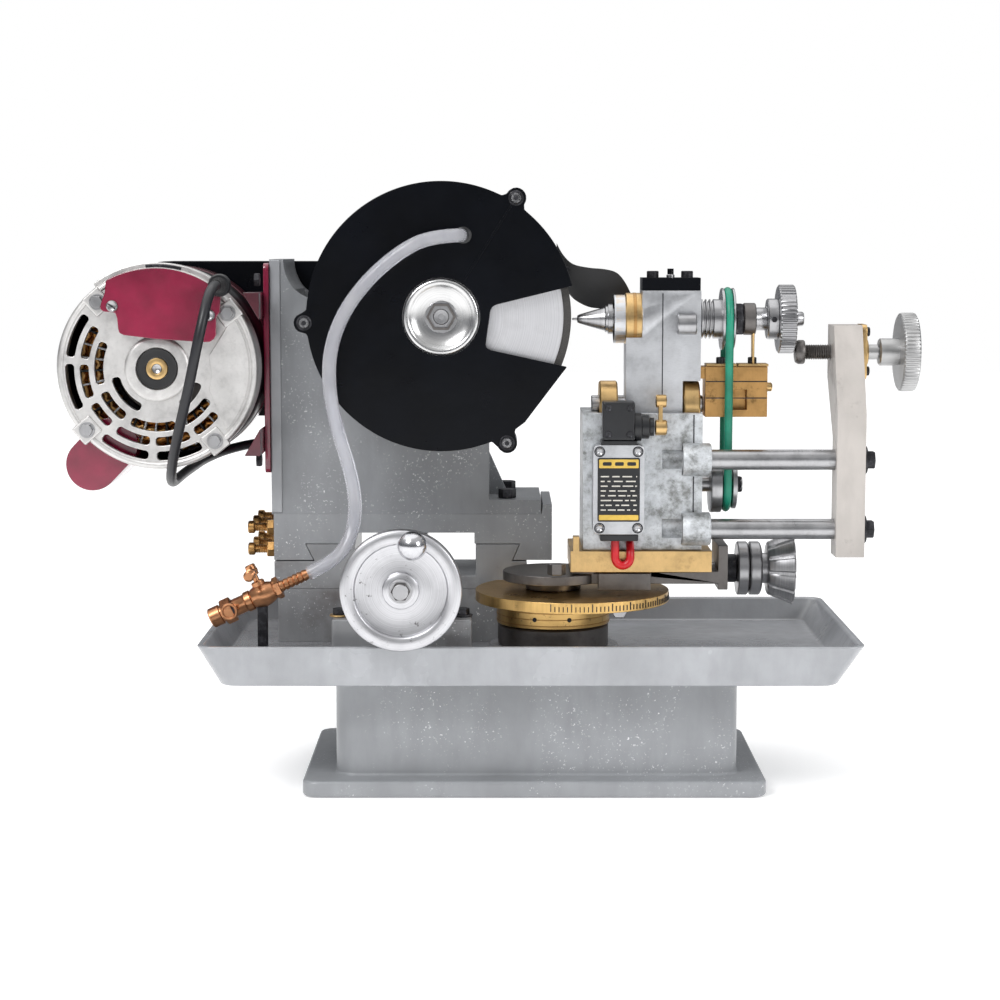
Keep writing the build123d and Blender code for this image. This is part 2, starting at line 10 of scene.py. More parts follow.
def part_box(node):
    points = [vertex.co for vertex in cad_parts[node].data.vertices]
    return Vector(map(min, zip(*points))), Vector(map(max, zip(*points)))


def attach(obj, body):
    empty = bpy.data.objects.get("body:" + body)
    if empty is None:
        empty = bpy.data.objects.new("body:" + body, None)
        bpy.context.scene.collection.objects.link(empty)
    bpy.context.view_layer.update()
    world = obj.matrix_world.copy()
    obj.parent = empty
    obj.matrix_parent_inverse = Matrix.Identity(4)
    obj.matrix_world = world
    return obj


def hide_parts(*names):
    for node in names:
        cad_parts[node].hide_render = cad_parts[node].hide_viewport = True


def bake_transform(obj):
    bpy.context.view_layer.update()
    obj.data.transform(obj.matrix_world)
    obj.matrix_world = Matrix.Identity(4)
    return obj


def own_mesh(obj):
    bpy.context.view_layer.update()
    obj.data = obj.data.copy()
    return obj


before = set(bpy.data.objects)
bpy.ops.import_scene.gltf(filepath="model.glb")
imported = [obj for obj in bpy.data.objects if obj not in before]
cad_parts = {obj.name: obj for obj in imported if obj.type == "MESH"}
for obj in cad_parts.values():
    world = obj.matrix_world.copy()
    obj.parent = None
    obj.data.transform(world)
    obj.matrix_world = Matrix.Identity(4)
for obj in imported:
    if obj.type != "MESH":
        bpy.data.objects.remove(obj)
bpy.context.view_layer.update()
MM = 0.001
RNG = random.Random(7)


# ---- places, worked out from the frame ----
def centre(node):
    """Middle of a node's box, in millimetres."""
    low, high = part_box(node)
    return tuple((a + b) / 2 / MM for a, b in zip(low, high))


def low(node):
    return tuple(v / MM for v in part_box(node)[0])


def high(node):
    return tuple(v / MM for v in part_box(node)[1])


WHEEL = centre("grinding_wheel")
SPINDLE = (WHEEL[0], WHEEL[2])
SHAFT = centre("motor_rotor")
MOTOR = (SHAFT[0], SHAFT[2])
MOTOR_FRONT = low("motor_front_bell")[1]
COVER_THICK = 4.0
COVER_FRONT = low("wheel_guard")[1] - COVER_THICK
HANDWHEEL = (centre("leadscrew")[0], centre("leadscrew")[2])
PIN_REACH = 24.0        # how far the knob's pin stands out of the handwheel's face
HANDWHEEL_FRONT = low("handwheel")[1] + PIN_REACH
PIVOT = (centre("pivot_ring")[0], centre("pivot_ring")[1])
HEAD_Y = centre("work_spindle")[1]
WORK = (HEAD_Y, centre("work_spindle")[2])
TAIL = (HEAD_Y, centre("tail_screw")[2])
DRIVE = (HEAD_Y, centre("drive_pulley")[2])
TILT = (HEAD_Y, centre("pivot_bushes")[2])
ADJUST = (HEAD_Y, centre("adjuster_knob")[2])


# ---- mesh helpers ----
def frame_x(y, z):
    """A lathe axis along +X at y, z: local Z is +X, local X is +Y, local Y is +Z."""
    return Matrix(((0, 0, 1, 0), (1, 0, 0, y), (0, 1, 0, z), (0, 0, 0, 1)))


def frame_y(x, z):
    """A lathe axis along +Y at x, z: local Z is +Y, local X is +X, local Y is -Z."""
    return Matrix(((1, 0, 0, x), (0, 0, 1, 0), (0, -1, 0, z), (0, 0, 0, 1)))


def frame_z(x, y):
    """A lathe axis along +Z at x, y."""
    return Matrix.Translation((x, y, 0))


FRONT = Matrix(((1, 0, 0, 0), (0, 0, -1, 0), (0, 1, 0, 0), (0, 0, 0, 1)))
SIDE = frame_x(0, 0)


def into_scene(name, data):
    """A new object in the scene that holds the data."""
    made = bpy.data.objects.new(name, data)
    bpy.context.scene.collection.objects.link(made)
    return made


def evaluated(piece):
    """The mesh that an object's curve or modifiers draw."""
    bpy.context.view_layer.update()
    graph = bpy.context.evaluated_depsgraph_get()
    return bpy.data.meshes.new_from_object(piece.evaluated_get(graph))


def drawn(curve):
    """The mesh that a curve draws."""
    holder = into_scene(curve.name, curve)
    mesh = evaluated(holder)
    bpy.data.objects.remove(holder)
    return mesh


def shade(mesh, angle=35):
    """Smooth shading that keeps edges sharper than the angle."""
    for polygon in mesh.polygons:
        polygon.use_smooth = True
    mesh.set_sharp_from_angle(angle=math.radians(angle))


def round_edges(piece, bevel, segments, harden=True):
    modifier = piece.modifiers.new("edges", "BEVEL")
    modifier.width = bevel * MM
    modifier.segments = segments
    modifier.limit_method = "ANGLE"
    modifier.angle_limit = math.radians(32)
    modifier.harden_normals = harden
    modifier.use_clamp_overlap = True


def add_piece(name, mesh, material, body, slot, replaces=(), bevel=0.0, angle=35, segments=2):
    """An object on its body, with its material and rounded edges; its slot is not used."""
    piece = into_scene(name, mesh)
    mesh.materials.clear()
    mesh.materials.append(material)
    shade(mesh, angle)
    if bevel:
        round_edges(piece, bevel, segments)
    if body:
        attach(piece, body)
    if replaces:
        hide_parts(*replaces)
    return piece


def mesh_from(bm, name):
    bmesh.ops.recalc_face_normals(bm, faces=bm.faces)
    mesh = bpy.data.meshes.new(name)
    bm.to_mesh(mesh)
    bm.free()
    return mesh


def bridge(bm, first, second):
    """Faces between two closed rings that have as many points."""
    for k in range(len(first)):
        n = (k + 1) % len(first)
        bm.faces.new((first[k], first[n], second[n], second[k]))


def spin(name, axis, profile, material, body, slot, steps=96, bump=None, **more):
    """A turned shape: (radius, distance along) pairs round the axis.

    bump(step, radius) gives a factor on the radius.
    """
    bm = bmesh.new()
    rings = []
    for radius, along in profile:
        if radius <= 0:
            rings.append([bm.verts.new(axis @ Vector((0, 0, along)) * MM)])
            continue
        ring = []
        for k in range(steps):
            turn = 2 * math.pi * k / steps
            r = radius * (bump(k, radius) if bump else 1)
            point = Vector((r * math.cos(turn), r * math.sin(turn), along))
            ring.append(bm.verts.new(axis @ point * MM))
        rings.append(ring)
    for first, second in zip(rings, rings[1:]):
        if len(first) == len(second) == steps:
            bridge(bm, first, second)
            continue
        if len(first) == len(second):
            continue
        tip, rim = sorted((first, second), key=len)
        for k in range(steps):
            bm.faces.new((tip[0], rim[k], rim[(k + 1) % steps]))
    return add_piece(name, mesh_from(bm, name), material, body, slot, **more)


def solid(*profile):
    """Closes a turned profile on its axis at both ends."""
    return [(0, profile[0][1]), *profile, (0, profile[-1][1])]


def ring(inner, outer, start, end, edge=0.6):
    """A closed ring profile with softened corners."""
    e = edge
    corners = [(inner, start + e), (inner + e, start), (outer - e, start), (outer, start + e),
               (outer, end - e), (outer - e, end), (inner + e, end), (inner, end - e)]
    return [*corners, corners[0]]


def disc_profile(radius, start, end, edge=0.6):
    return solid((radius - edge, start), (radius, start + edge), (radius, end - edge),
                 (radius - edge, end))


def plate(name, axis, outlines, start, end, material, body, slot, edge=0.5, **more):
    """A flat plate with holes: closed outlines in the axis frame's own X and Y."""
    curve = bpy.data.curves.new(name, "CURVE")
    curve.dimensions = "2D"
    curve.fill_mode = "BOTH"
    for outline in outlines:
        spline = curve.splines.new("POLY")
        spline.points.add(len(outline) - 1)
        for point, (x, y) in zip(spline.points, outline):
            point.co = (x * MM, y * MM, 0, 1)
        spline.use_cyclic_u = True
    half = (end - start) / 2
    curve.extrude = max(half - edge, 0.01) * MM
    curve.bevel_depth = edge * MM
    curve.offset = -edge * MM
    curve.bevel_resolution = 2
    mesh = drawn(curve)
    place = axis.copy()
    place.translation *= MM
    mesh.transform(place @ Matrix.Translation((0, 0, (start + half) * MM)))
    return add_piece(name, mesh, material, body, slot, **more)


def arc(x, y, radius, start, end, steps=24):
    """Points of an arc, angles in degrees."""
    out = []
    for k in range(steps + 1):
        turn = math.radians(start + (end - start) * k / steps)
        out.append((x + radius * math.cos(turn), y + radius * math.sin(turn)))
    return out


def circle(x, y, radius, steps=48):
    return arc(x, y, radius, 0, 360, steps)[:-1]


def arc_slot(x, y, inner, outer, start, end):
    """A curved slot with rounded ends."""
    middle, half = (inner + outer) / 2, (outer - inner) / 2
    pad = math.degrees(half * 0.55 / middle)
    round_in = [(inner + half * 0.35, 0.0), (middle, -pad * 0.5), (outer - half * 0.35, 0.0)]
    points = arc(x, y, inner, start + pad, end - pad, 10)
    for radius, extra in round_in:
        turn = math.radians(end - extra * 0.2)
        points.append((x + radius * math.cos(turn), y + radius * math.sin(turn)))
    points += arc(x, y, outer, end - pad, start + pad, 12)
    for radius, extra in reversed(round_in):
        turn = math.radians(start + extra * 0.2)
        points.append((x + radius * math.cos(turn), y + radius * math.sin(turn)))
    return points


def rounded(x0, x1, y0, y1, radius, steps=6):
    """Outline of a rounded rectangle."""
    corners = ((x1 - radius, y1 - radius, 0), (x0 + radius, y1 - radius, 90),
               (x0 + radius, y0 + radius, 180), (x1 - radius, y0 + radius, 270))
    out = []
    for cx, cy, start in corners:
        out += arc(cx, cy, radius, start, start + 90, steps)
    return out


def block(name, x0, x1, y0, y1, z0, z1, material, body, slot, bevel=0.8, **more):
    """A block with rounded edges."""
    bm = bmesh.new()
    bmesh.ops.create_cube(bm, size=1)
    size = Matrix.Diagonal((x1 - x0, y1 - y0, z1 - z0, 1))
    place = Matrix.Translation(((x0 + x1) / 2, (y0 + y1) / 2, (z0 + z1) / 2))
    bmesh.ops.transform(bm, matrix=Matrix.Scale(MM, 4) @ place @ size, verts=bm.verts)
    return add_piece(name, mesh_from(bm, name), material, body, slot, bevel=bevel, **more)


def refine(node, material, body, slot, bevel=1.0, segments=3, name=None):
    """The node's own shape with its edges rounded, standing for the CAD node."""
    bm = bmesh.new()
    bm.from_mesh(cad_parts[node].data)
    bmesh.ops.remove_doubles(bm, verts=bm.verts, dist=1e-6)
    bmesh.ops.dissolve_limit(bm, angle_limit=math.radians(1.2), verts=bm.verts, edges=bm.edges)
    mesh = mesh_from(bm, name or node + "_finish")
    return add_piece(name or node + "_finish", mesh, material, body, slot, (node,), bevel,
                     segments=segments)


def nut(name, axis, flats, start, end, material, body, slot, hole=0.0):
    """A hexagonal nut or bolt head with chamfered ends."""
    r = flats / 2
    edge = min(0.8, (end - start) / 4)
    profile = [(r * 0.93, start), (r, start + edge), (r, end - edge), (r * 0.93, end)]
    profile = [(hole, start), *profile, (hole, end), (hole, start)] if hole else solid(*profile)

    def bump(k, radius):
        if radius < r * 0.9:
            return 1
        return 1 / math.cos(math.radians((k * 7.5) % 60 - 30))
    return spin(name, axis, profile, material, body, slot, steps=48, bump=bump, angle=20)


def socket_screw(name, axis, radius, start, end, material, body, slot):
    """A knurled cap screw head whose hexagonal socket opens at start."""
    hole = radius * 0.5
    deep = start + (end - start) * 0.5
    profile = [(0, deep), (hole, deep), (hole, start), (radius - 0.5, start),
               (radius, start + math.copysign(0.5, end - start)), (radius, end), (0, end)]
    return spin(name, axis, profile, material, body, slot, steps=48,
                bump=lambda k, r: 1.0 + (0.02 if k % 2 and r > radius * 0.98 else 0))


def thread(name, axis, radius, start, end, pitch, material, body, slot):
    """A threaded length as a row of close ridges."""
    profile = [(0, start)]
    count = max(int(abs(end - start) / pitch), 1)
    step = (end - start) / count
    for k in range(count):
        profile.append((radius * 0.87, start + step * k))
        profile.append((radius, start + step * (k + 0.5)))
    profile += [(radius * 0.87, end), (0, end)]
    return spin(name, axis, profile, material, body, slot, steps=40, angle=60)


# ---- materials ----
class Nodes:
    """A short way to write a material's nodes."""

    def __init__(self, name, roughness=0.5, metallic=0.0, coat=0.0):
        self.material = bpy.data.materials.new(name)
        self.material.use_nodes = True
        self.tree = self.material.node_tree
        self.shader = self.tree.nodes["Principled BSDF"]
        self.shader.inputs["Roughness"].default_value = roughness
        self.shader.inputs["Metallic"].default_value = metallic
        self.shader.inputs["Coat Weight"].default_value = coat
        self.shader.inputs["Coat Roughness"].default_value = 0.12
        self.place = self.tree.nodes.new("ShaderNodeTexCoord").outputs["Object"]

    def node(self, kind, **values):
        made = self.tree.nodes.new(kind)
        for key, value in values.items():
            setattr(made, key, value)
        return made

    def link(self, output, socket):
        self.tree.links.new(output, socket)

    def noise(self, scale, detail=5.0, rough=0.55, stretch=None, distortion=0.0):
        texture = self.node("ShaderNodeTexNoise")
        texture.inputs["Scale"].default_value = scale
        texture.inputs["Detail"].default_value = detail
        texture.inputs["Roughness"].default_value = rough
        texture.inputs["Distortion"].default_value = distortion
        source = self.place
        if stretch:
            mapping = self.node("ShaderNodeMapping")
            mapping.inputs["Scale"].default_value = stretch
            self.link(self.place, mapping.inputs["Vector"])
            source = mapping.outputs["Vector"]
        self.link(source, texture.inputs["Vector"])
        return texture.outputs["Fac"]

    def ramp(self, source, *stops):
        """stops are (position, colour or grey) pairs."""
        ramp = self.node("ShaderNodeValToRGB")
        elements = ramp.color_ramp.elements
        while len(elements) < len(stops):
            elements.new(0.5)
        for element, (position, colour) in zip(elements, stops):
            element.position = position
            grey = isinstance(colour, (int, float))
            element.color = (colour,) * 3 + (1,) if grey else (*colour, 1)
        self.link(source, ramp.inputs["Fac"])
        return ramp.outputs["Color"]

    def mix(self, factor, first, second):
        """first and second are outputs or colours; factor is an output."""
        mix = self.node("ShaderNodeMix", data_type="RGBA")
        self.link(factor, mix.inputs[0])
        for value, socket in ((first, mix.inputs[6]), (second, mix.inputs[7])):
            if isinstance(value, tuple):
                socket.default_value = (*value, 1)
            else:
                self.link(value, socket)
        return mix.outputs[2]

    def radius(self, axis, centre_mm):
        """Distance from an axis, as a texture's own coordinate."""
        offset = self.node("ShaderNodeVectorMath", operation="SUBTRACT")
        self.link(self.place, offset.inputs[0])
        point = {"X": (0, *centre_mm), "Y": (centre_mm[0], 0, centre_mm[1]),
                 "Z": (*centre_mm, 0)}[axis]
        offset.inputs[1].default_value = [v * MM for v in point]
        flat = self.node("ShaderNodeVectorMath", operation="MULTIPLY")
        keep = {"X": (0, 1, 1), "Y": (1, 0, 1), "Z": (1, 1, 0)}[axis]
        self.link(offset.outputs[0], flat.inputs[0])
        flat.inputs[1].default_value = keep
        length = self.node("ShaderNodeVectorMath", operation="LENGTH")
        self.link(flat.outputs[0], length.inputs[0])
        return length.outputs["Value"]

    def colour(self, output):
        self.link(output, self.shader.inputs["Base Color"])

    def roughness(self, source, lowest, highest):
        value = self.node("ShaderNodeMapRange")
        value.inputs["To Min"].default_value = lowest
        value.inputs["To Max"].default_value = highest
        self.link(source, value.inputs["Value"])
        self.link(value.outputs["Result"], self.shader.inputs["Roughness"])

    def bump(self, *layers):
        """layers are (height output, strength, distance in millimetres)."""
        normal = None
        for height, strength, distance in layers:
            bump = self.node("ShaderNodeBump")
            bump.inputs["Strength"].default_value = strength
            bump.inputs["Distance"].default_value = distance * MM
            self.link(height, bump.inputs["Height"])
            if normal:
                self.link(normal, bump.inputs["Normal"])
            normal = bump.outputs["Normal"]
        self.link(normal, self.shader.inputs["Normal"])


def tone(colour, amount):
    return tuple(min(max(c * amount, 0), 1) for c in colour)


def enamel(name, colour, speckle=0.0, dirt=0.0, rough=0.34, lumps=0.35, coat=0.25):
    """Brushed machine enamel over a casting: brush marks, specks, and grime in patches."""
    n = Nodes(name, rough, 0.0, coat)
    broad = n.noise(14, 4)
    base = n.ramp(broad, (0.3, tone(colour, 0.84)), (0.52, colour), (0.72, tone(colour, 1.14)))
    streak = n.noise(90, 4, stretch=(1, 1, 0.25))
    base = n.mix(n.ramp(streak, (0.42, 0.0), (0.7, 0.35)), base, tone(colour, 0.72))
    if dirt:
        grime = n.noise(22, 8, 0.65)
        base = n.mix(n.ramp(grime, (0.62 - 0.16 * dirt, 0.0), (0.74, 0.75)), base,
                     (0.085, 0.062, 0.055))
    if speckle:
        specks = n.noise(520, 3, 0.6)
        patch = n.noise(17, 3)
        spots = n.mix(n.ramp(patch, (0.46, 0.0), (0.6, 1.0)), (0.0, 0.0, 0.0),
                      n.ramp(specks, (0.66 - 0.05 * speckle, 0.0), (0.71, 1.0)))
        base = n.mix(spots, base, (0.82, 0.82, 0.84))
    n.colour(base)
    n.roughness(broad, rough - 0.1, rough + 0.14)
    n.bump((n.noise(34, 5, 0.6), lumps, 1.4), (n.noise(300, 4), 0.16, 0.35))
    return n.material


def rough_casting(name, colour, dark, lumps=0.9, rough=0.42, metallic=0.0):
    """A raw or thickly painted casting with a lumpy, mottled skin."""
    n = Nodes(name, rough, metallic, 0.15)
    skin = n.noise(70, 8, 0.7)
    fine = n.noise(420, 6, 0.7)
    base = n.ramp(skin, (0.36, dark), (0.5, colour), (0.66, tone(colour, 1.3)))
    base = n.mix(n.ramp(fine, (0.55, 0.0), (0.72, 0.6)), base, dark)
    n.colour(base)
    n.roughness(skin, rough - 0.14, rough + 0.2)
    n.bump((skin, lumps, 2.2), (fine, 0.4, 0.5))
    return n.material


def gloss(name, colour, rough=0.12, mottling=0.25, coat=0.8):
    """Thick gloss paint with a little orange peel."""
    n = Nodes(name, rough, 0.0, coat)
    n.shader.inputs["Coat Roughness"].default_value = 0.08
    cloud = n.noise(26, 4)
    n.colour(n.ramp(cloud, (0.3, tone(colour, 1 - mottling)), (0.7, tone(colour, 1 + mottling))))
    n.roughness(n.noise(60, 5), rough, rough + 0.16)
    n.bump((n.noise(45, 3), 0.22, 1.0), (n.noise(700, 2), 0.05, 0.2))
    return n.material


def turned(name, colour, axis, centre_mm, rough=0.26, marks=1.0, stains=0.0, metallic=1.0):
    """Metal turned in a lathe: fine rings round the axis, and stains."""
    n = Nodes(name, rough, metallic)
    distance = n.radius(axis, centre_mm)
    rings = n.node("ShaderNodeTexNoise", noise_dimensions="1D")
    rings.inputs["Scale"].default_value = 1500
    rings.inputs["Detail"].default_value = 3
    n.link(distance, rings.inputs["W"])
    lines = rings.outputs["Fac"]
    base = n.ramp(lines, (0.3, tone(colour, 0.86)), (0.7, tone(colour, 1.08)))
    cloud = n.noise(48, 6, 0.62)
    base = n.mix(n.ramp(cloud, (0.5, 0.0), (0.78, 0.4)), base, tone(colour, 0.6))
    if stains:
        spots = n.noise(230, 5, 0.7, stretch=(1, 1, 1))
        patch = n.ramp(n.noise(30, 3), (0.5, 0.0), (0.6, 1.0))
        marks_mask = n.mix(patch, (0.0, 0.0, 0.0), n.ramp(spots, (0.6, 0.0), (0.66, stains)))
        base = n.mix(marks_mask, base, (0.05, 0.045, 0.04))
    n.colour(base)
    n.roughness(cloud, rough - 0.06, rough + 0.16)
    n.bump((lines, 0.12 * marks, 0.15), (n.noise(160, 4), 0.05, 0.3))
    return n.material


def milled(name, colour, rough=0.33, along=(1, 1, 8), stains=0.3, metallic=1.0,
           stain=(0.09, 0.07, 0.06)):
    """Metal with straight tool marks, patchy with oil and oxide."""
    n = Nodes(name, rough, metallic)
    marks = n.noise(260, 4, 0.6, stretch=along)
    cloud = n.noise(38, 7, 0.66)
    base = n.ramp(cloud, (0.32, tone(colour, 0.72)), (0.5, colour), (0.72, tone(colour, 1.14)))
    base = n.mix(n.ramp(marks, (0.5, 0.0), (0.8, 0.5)), base, tone(colour, 0.78))
    if stains:
        base = n.mix(n.ramp(n.noise(95, 8, 0.7), (0.56, 0.0), (0.72, stains)), base, stain)
    n.colour(base)
    n.roughness(cloud, rough - 0.1, rough + 0.18)
    n.bump((marks, 0.16, 0.25), (n.noise(120, 5), 0.12, 0.5))
    return n.material


def oxide(name, colour=(0.022, 0.022, 0.025), rough=0.42):
    """Black oxide steel, rubbed to grey in places."""
    n = Nodes(name, rough, 0.7)
    wear = n.noise(160, 6, 0.7)
    n.colour(n.ramp(wear, (0.45, colour), (0.62, tone(colour, 2.6)), (0.74, (0.2, 0.19, 0.18))))
    n.roughness(wear, rough - 0.1, rough + 0.2)
    n.bump((n.noise(380, 4), 0.2, 0.3))
    return n.material


def rubber(name, colour=(0.018, 0.018, 0.02), rough=0.48, grain=500):
    """Soft black rubber or cord jacket."""
    n = Nodes(name, rough)
    cloud = n.noise(40, 4)
    n.colour(n.ramp(cloud, (0.3, tone(colour, 0.75)), (0.75, tone(colour, 1.7))))
    n.roughness(cloud, rough - 0.12, rough + 0.12)
    n.bump((n.noise(grain, 3), 0.12, 0.2))
    return n.material


def clear_vinyl(name):
    """Clear hose with a violet-grey cast and faint clouding."""
    n = Nodes(name, 0.14)
    n.shader.inputs["Transmission Weight"].default_value = 0.72
    n.shader.inputs["IOR"].default_value = 1.36
    cloud = n.noise(55, 4, stretch=(1, 1, 0.4))
    n.colour(n.ramp(cloud, (0.3, (0.74, 0.75, 0.82)), (0.7, (0.93, 0.93, 0.96))))
    n.roughness(cloud, 0.08, 0.26)
    return n.material


def wheel_grit(name):
    """Bonded abrasive: fine coloured grain."""
    n = Nodes(name, 0.85)
    grain = n.noise(2200, 2)
    n.colour(n.ramp(grain, (0.4, (0.02, 0.02, 0.022)), (0.6, (0.07, 0.065, 0.06))))
    n.bump((grain, 0.7, 0.3))
    return n.material


GREY = enamel("grey_enamel", (0.30, 0.31, 0.325), speckle=0.5)
GREY_SPECKLED = enamel("grey_enamel_speckled", (0.27, 0.28, 0.295), speckle=1.0, lumps=0.5)
GREY_LIGHT = enamel("grey_enamel_light", (0.35, 0.36, 0.38), rough=0.22, lumps=0.6, coat=0.6)
GREY_DIRTY = enamel("grey_enamel_dirty", (0.27, 0.275, 0.285), dirt=0.75, speckle=0.3, lumps=0.6)
CAST = rough_casting("raw_casting", (0.50, 0.52, 0.54), (0.20, 0.205, 0.20), 0.55, 0.38, 0.55)
PALE_ARM = enamel("pale_arm", (0.44, 0.41, 0.385), speckle=0.0, dirt=0.12, rough=0.46, coat=0.1)
BLACK_GLOSS = gloss("black_gloss", (0.0015, 0.002, 0.0035), 0.22, 0.3, 0.06)
BLACK_GLOSS.node_tree.nodes["Principled BSDF"].inputs["Specular IOR Level"].default_value = 0.12
MAROON = gloss("maroon_gloss", (0.19, 0.006, 0.032), 0.15, 0.35)
# the maroon gloss darkened: painted shade on the cover's skirt, the mount brackets and the motor
# band
MAROON_SHADED = gloss("maroon_painted_shade", (0.065, 0.006, 0.014), 0.24, 0.5)
STEEL = milled("steel", (0.42, 0.42, 0.43), 0.28, (8, 1, 1), 0.25)
DARK_STEEL = milled("dark_steel", (0.16, 0.15, 0.145), 0.4, (1, 1, 1), 0.5)
ALUMINIUM = milled("aluminium", (0.56, 0.57, 0.59), 0.36, (1, 1, 6), 0.12)
BELL = milled("bell_aluminium", (0.62, 0.61, 0.60), 0.42, (1, 1, 1), 0.14)
BRASS = milled("brass", (0.62, 0.42, 0.19), 0.3, (6, 1, 1), 0.35, stain=(0.16, 0.08, 0.03))
OLD_BRASS = milled("old_brass", (0.50, 0.29, 0.11), 0.36, (3, 1, 1), 0.75,
                   stain=(0.055, 0.035, 0.02))
BRONZE = milled("valve_bronze", (0.50, 0.24, 0.12), 0.3, (1, 1, 1), 0.55,
                stain=(0.09, 0.035, 0.02))
OXIDE = oxide("black_oxide")
RUBBER = rubber("black_rubber", (0.008, 0.008, 0.009), 0.5)
CORD = rubber("cord_jacket", (0.006, 0.0065, 0.009), 0.4)
PLASTIC = rubber("black_plastic", (0.008, 0.0085, 0.010), 0.36, 900)
VINYL = clear_vinyl("clear_vinyl")
GREEN = rubber("green_belt", (0.006, 0.17, 0.105), 0.42, 300)
RED = rubber("red_jacket", (0.42, 0.006, 0.012), 0.34, 200)
COPPER = milled("copper_wire", (0.50, 0.22, 0.06), 0.35, (1, 9, 1), 0.5)
GRIT = wheel_grit("wheel_grit")
WHEEL_FACE = turned("wheel_face", (0.66, 0.66, 0.68), "Y", SPINDLE, 0.42, 0.5)
WHEEL_HUB = turned("wheel_hub", (0.60, 0.60, 0.60), "Y", SPINDLE, 0.2, 1.0, 0.5)
HAND_METAL = turned("handwheel_metal", (0.58, 0.58, 0.60), "Y", HANDWHEEL, 0.3, 1.4, 0.9)
POLISHED = milled("polished_ball", (0.55, 0.55, 0.57), 0.14, (1, 1, 1), 0.15)
DISC_BRASS = turned("disc_brass", (0.62, 0.40, 0.15), "Z", PIVOT, 0.26, 1.6, 0.5)
SPINDLE_STEEL = turned("spindle_steel", (0.40, 0.40, 0.41), "X", WORK, 0.24, 0.6, 0.3)
KNOB_STEEL = turned("knob_steel", (0.34, 0.34, 0.35), "X", ADJUST, 0.3, 1.0, 0.2)
TAIL_STEEL = turned("tail_steel", (0.46, 0.46, 0.46), "X", TAIL, 0.34, 0.6, 0.3)


# ---- camera, light and floor ----
LENS, SENSOR = 81.54, 36
EYE = (-0.027, -1.834, 0.42627)
LOOK_DOWN = 6.3235      # degrees


def set_camera():
    data = bpy.data.cameras.new("camera")
    data.lens = LENS
    data.sensor_width = SENSOR
    camera = into_scene("camera", data)
    camera.location = EYE
    camera.rotation_euler = (math.radians(90 - LOOK_DOWN), 0, 0)
    bpy.context.scene.camera = camera


def area_light(name, place, aim, size, power):
    data = bpy.data.lights.new(name, "AREA")
    data.size = size
    data.energy = power
    light = into_scene(name, data)
    light.location = place
    light.rotation_euler = (Vector(aim) - Vector(place)).to_track_quat("-Z", "Y").to_euler()


def set_world():
    """A grey sky that lightens upwards, and plain white where the camera sees it."""
    world = bpy.data.worlds.new("studio")
    world.use_nodes = True
    tree = world.node_tree
    background = tree.nodes["Background"]
    coordinate = tree.nodes.new("ShaderNodeTexCoord")
    split = tree.nodes.new("ShaderNodeSeparateXYZ")
    tree.links.new(coordinate.outputs["Generated"], split.inputs[0])
    blend = tree.nodes.new("ShaderNodeMath")
    blend.operation = "MULTIPLY_ADD"
    tree.links.new(split.outputs["Z"], blend.inputs[0])
    blend.inputs[1].default_value = 0.5
    blend.inputs[2].default_value = 0.5
    ramp = tree.nodes.new("ShaderNodeValToRGB")
    elements = ramp.color_ramp.elements
    elements[0].position, elements[0].color = 0.40, (0.30, 0.31, 0.33, 1)
    elements[1].position, elements[1].color = 0.86, (1.0, 1.0, 1.0, 1)
    middle = elements.new(0.56)
    middle.color = (0.20, 0.21, 0.23, 1)
    tree.links.new(blend.outputs[0], ramp.inputs["Fac"])
    tree.links.new(ramp.outputs["Color"], background.inputs["Color"])
    background.inputs["Strength"].default_value = 0.68
    backdrop = tree.nodes.new("ShaderNodeBackground")
    backdrop.inputs["Color"].default_value = (1, 1, 1, 1)
    path = tree.nodes.new("ShaderNodeLightPath")
    pick = tree.nodes.new("ShaderNodeMixShader")
    tree.links.new(path.outputs["Is Camera Ray"], pick.inputs[0])
    tree.links.new(background.outputs[0], pick.inputs[1])
    tree.links.new(backdrop.outputs[0], pick.inputs[2])
    tree.links.new(pick.outputs[0], tree.nodes["World Output"].inputs[0])
    bpy.context.scene.world = world


def set_lights():
    area_light("key", (-1.0, -1.3, 1.6), (0, 0, 0.25), 0.8, 24)
    area_light("fill", (1.4, -1.2, 0.9), (0, 0, 0.25), 0.7, 11)
    sun = bpy.data.lights.new("sky", "SUN")
    sun.energy = 1.2
    sun.angle = math.radians(80)
    into_scene("sky", sun).rotation_euler = (math.radians(-14), math.radians(-10), 0)
    bpy.context.scene.view_settings.view_transform = "Standard"


def set_floor():
    floor = bpy.data.meshes.new("floor")
    floor.from_pydata([(-6, -6, -0.0005), (6, -6, -0.0005), (6, 6, -0.0005), (-6, 6, -0.0005)],
                      [], [(0, 1, 2, 3)])
    n = Nodes("floor", 0.7)
    n.colour(n.ramp(n.noise(1.5, 2), (0.2, 0.93), (0.8, 0.97)))
    n.shader.inputs["Emission Color"].default_value = (1, 1, 1, 1)
    n.shader.inputs["Emission Strength"].default_value = 0.3
    floor.materials.append(n.material)
    into_scene("floor", floor)


# ---- cords ----
def nurbs_points(route):
    """Points read from the NURBS spline that has the route as its control points, in metres."""
    curve = bpy.data.curves.new("route", "CURVE")
    curve.dimensions = "3D"
    curve.resolution_u = 10
    spline = curve.splines.new("NURBS")
    spline.points.add(len(route) - 1)
    for point, place in zip(spline.points, route):
        point.co = (*(v * MM for v in place), 1)
    spline.order_u = 3
    spline.use_endpoint_u = True
    return [vertex.co.copy() for vertex in drawn(curve).vertices]


def print_length(name, points):
    print(name, "length", round(sum((b - a).length for a, b in zip(points, points[1:])), 4))


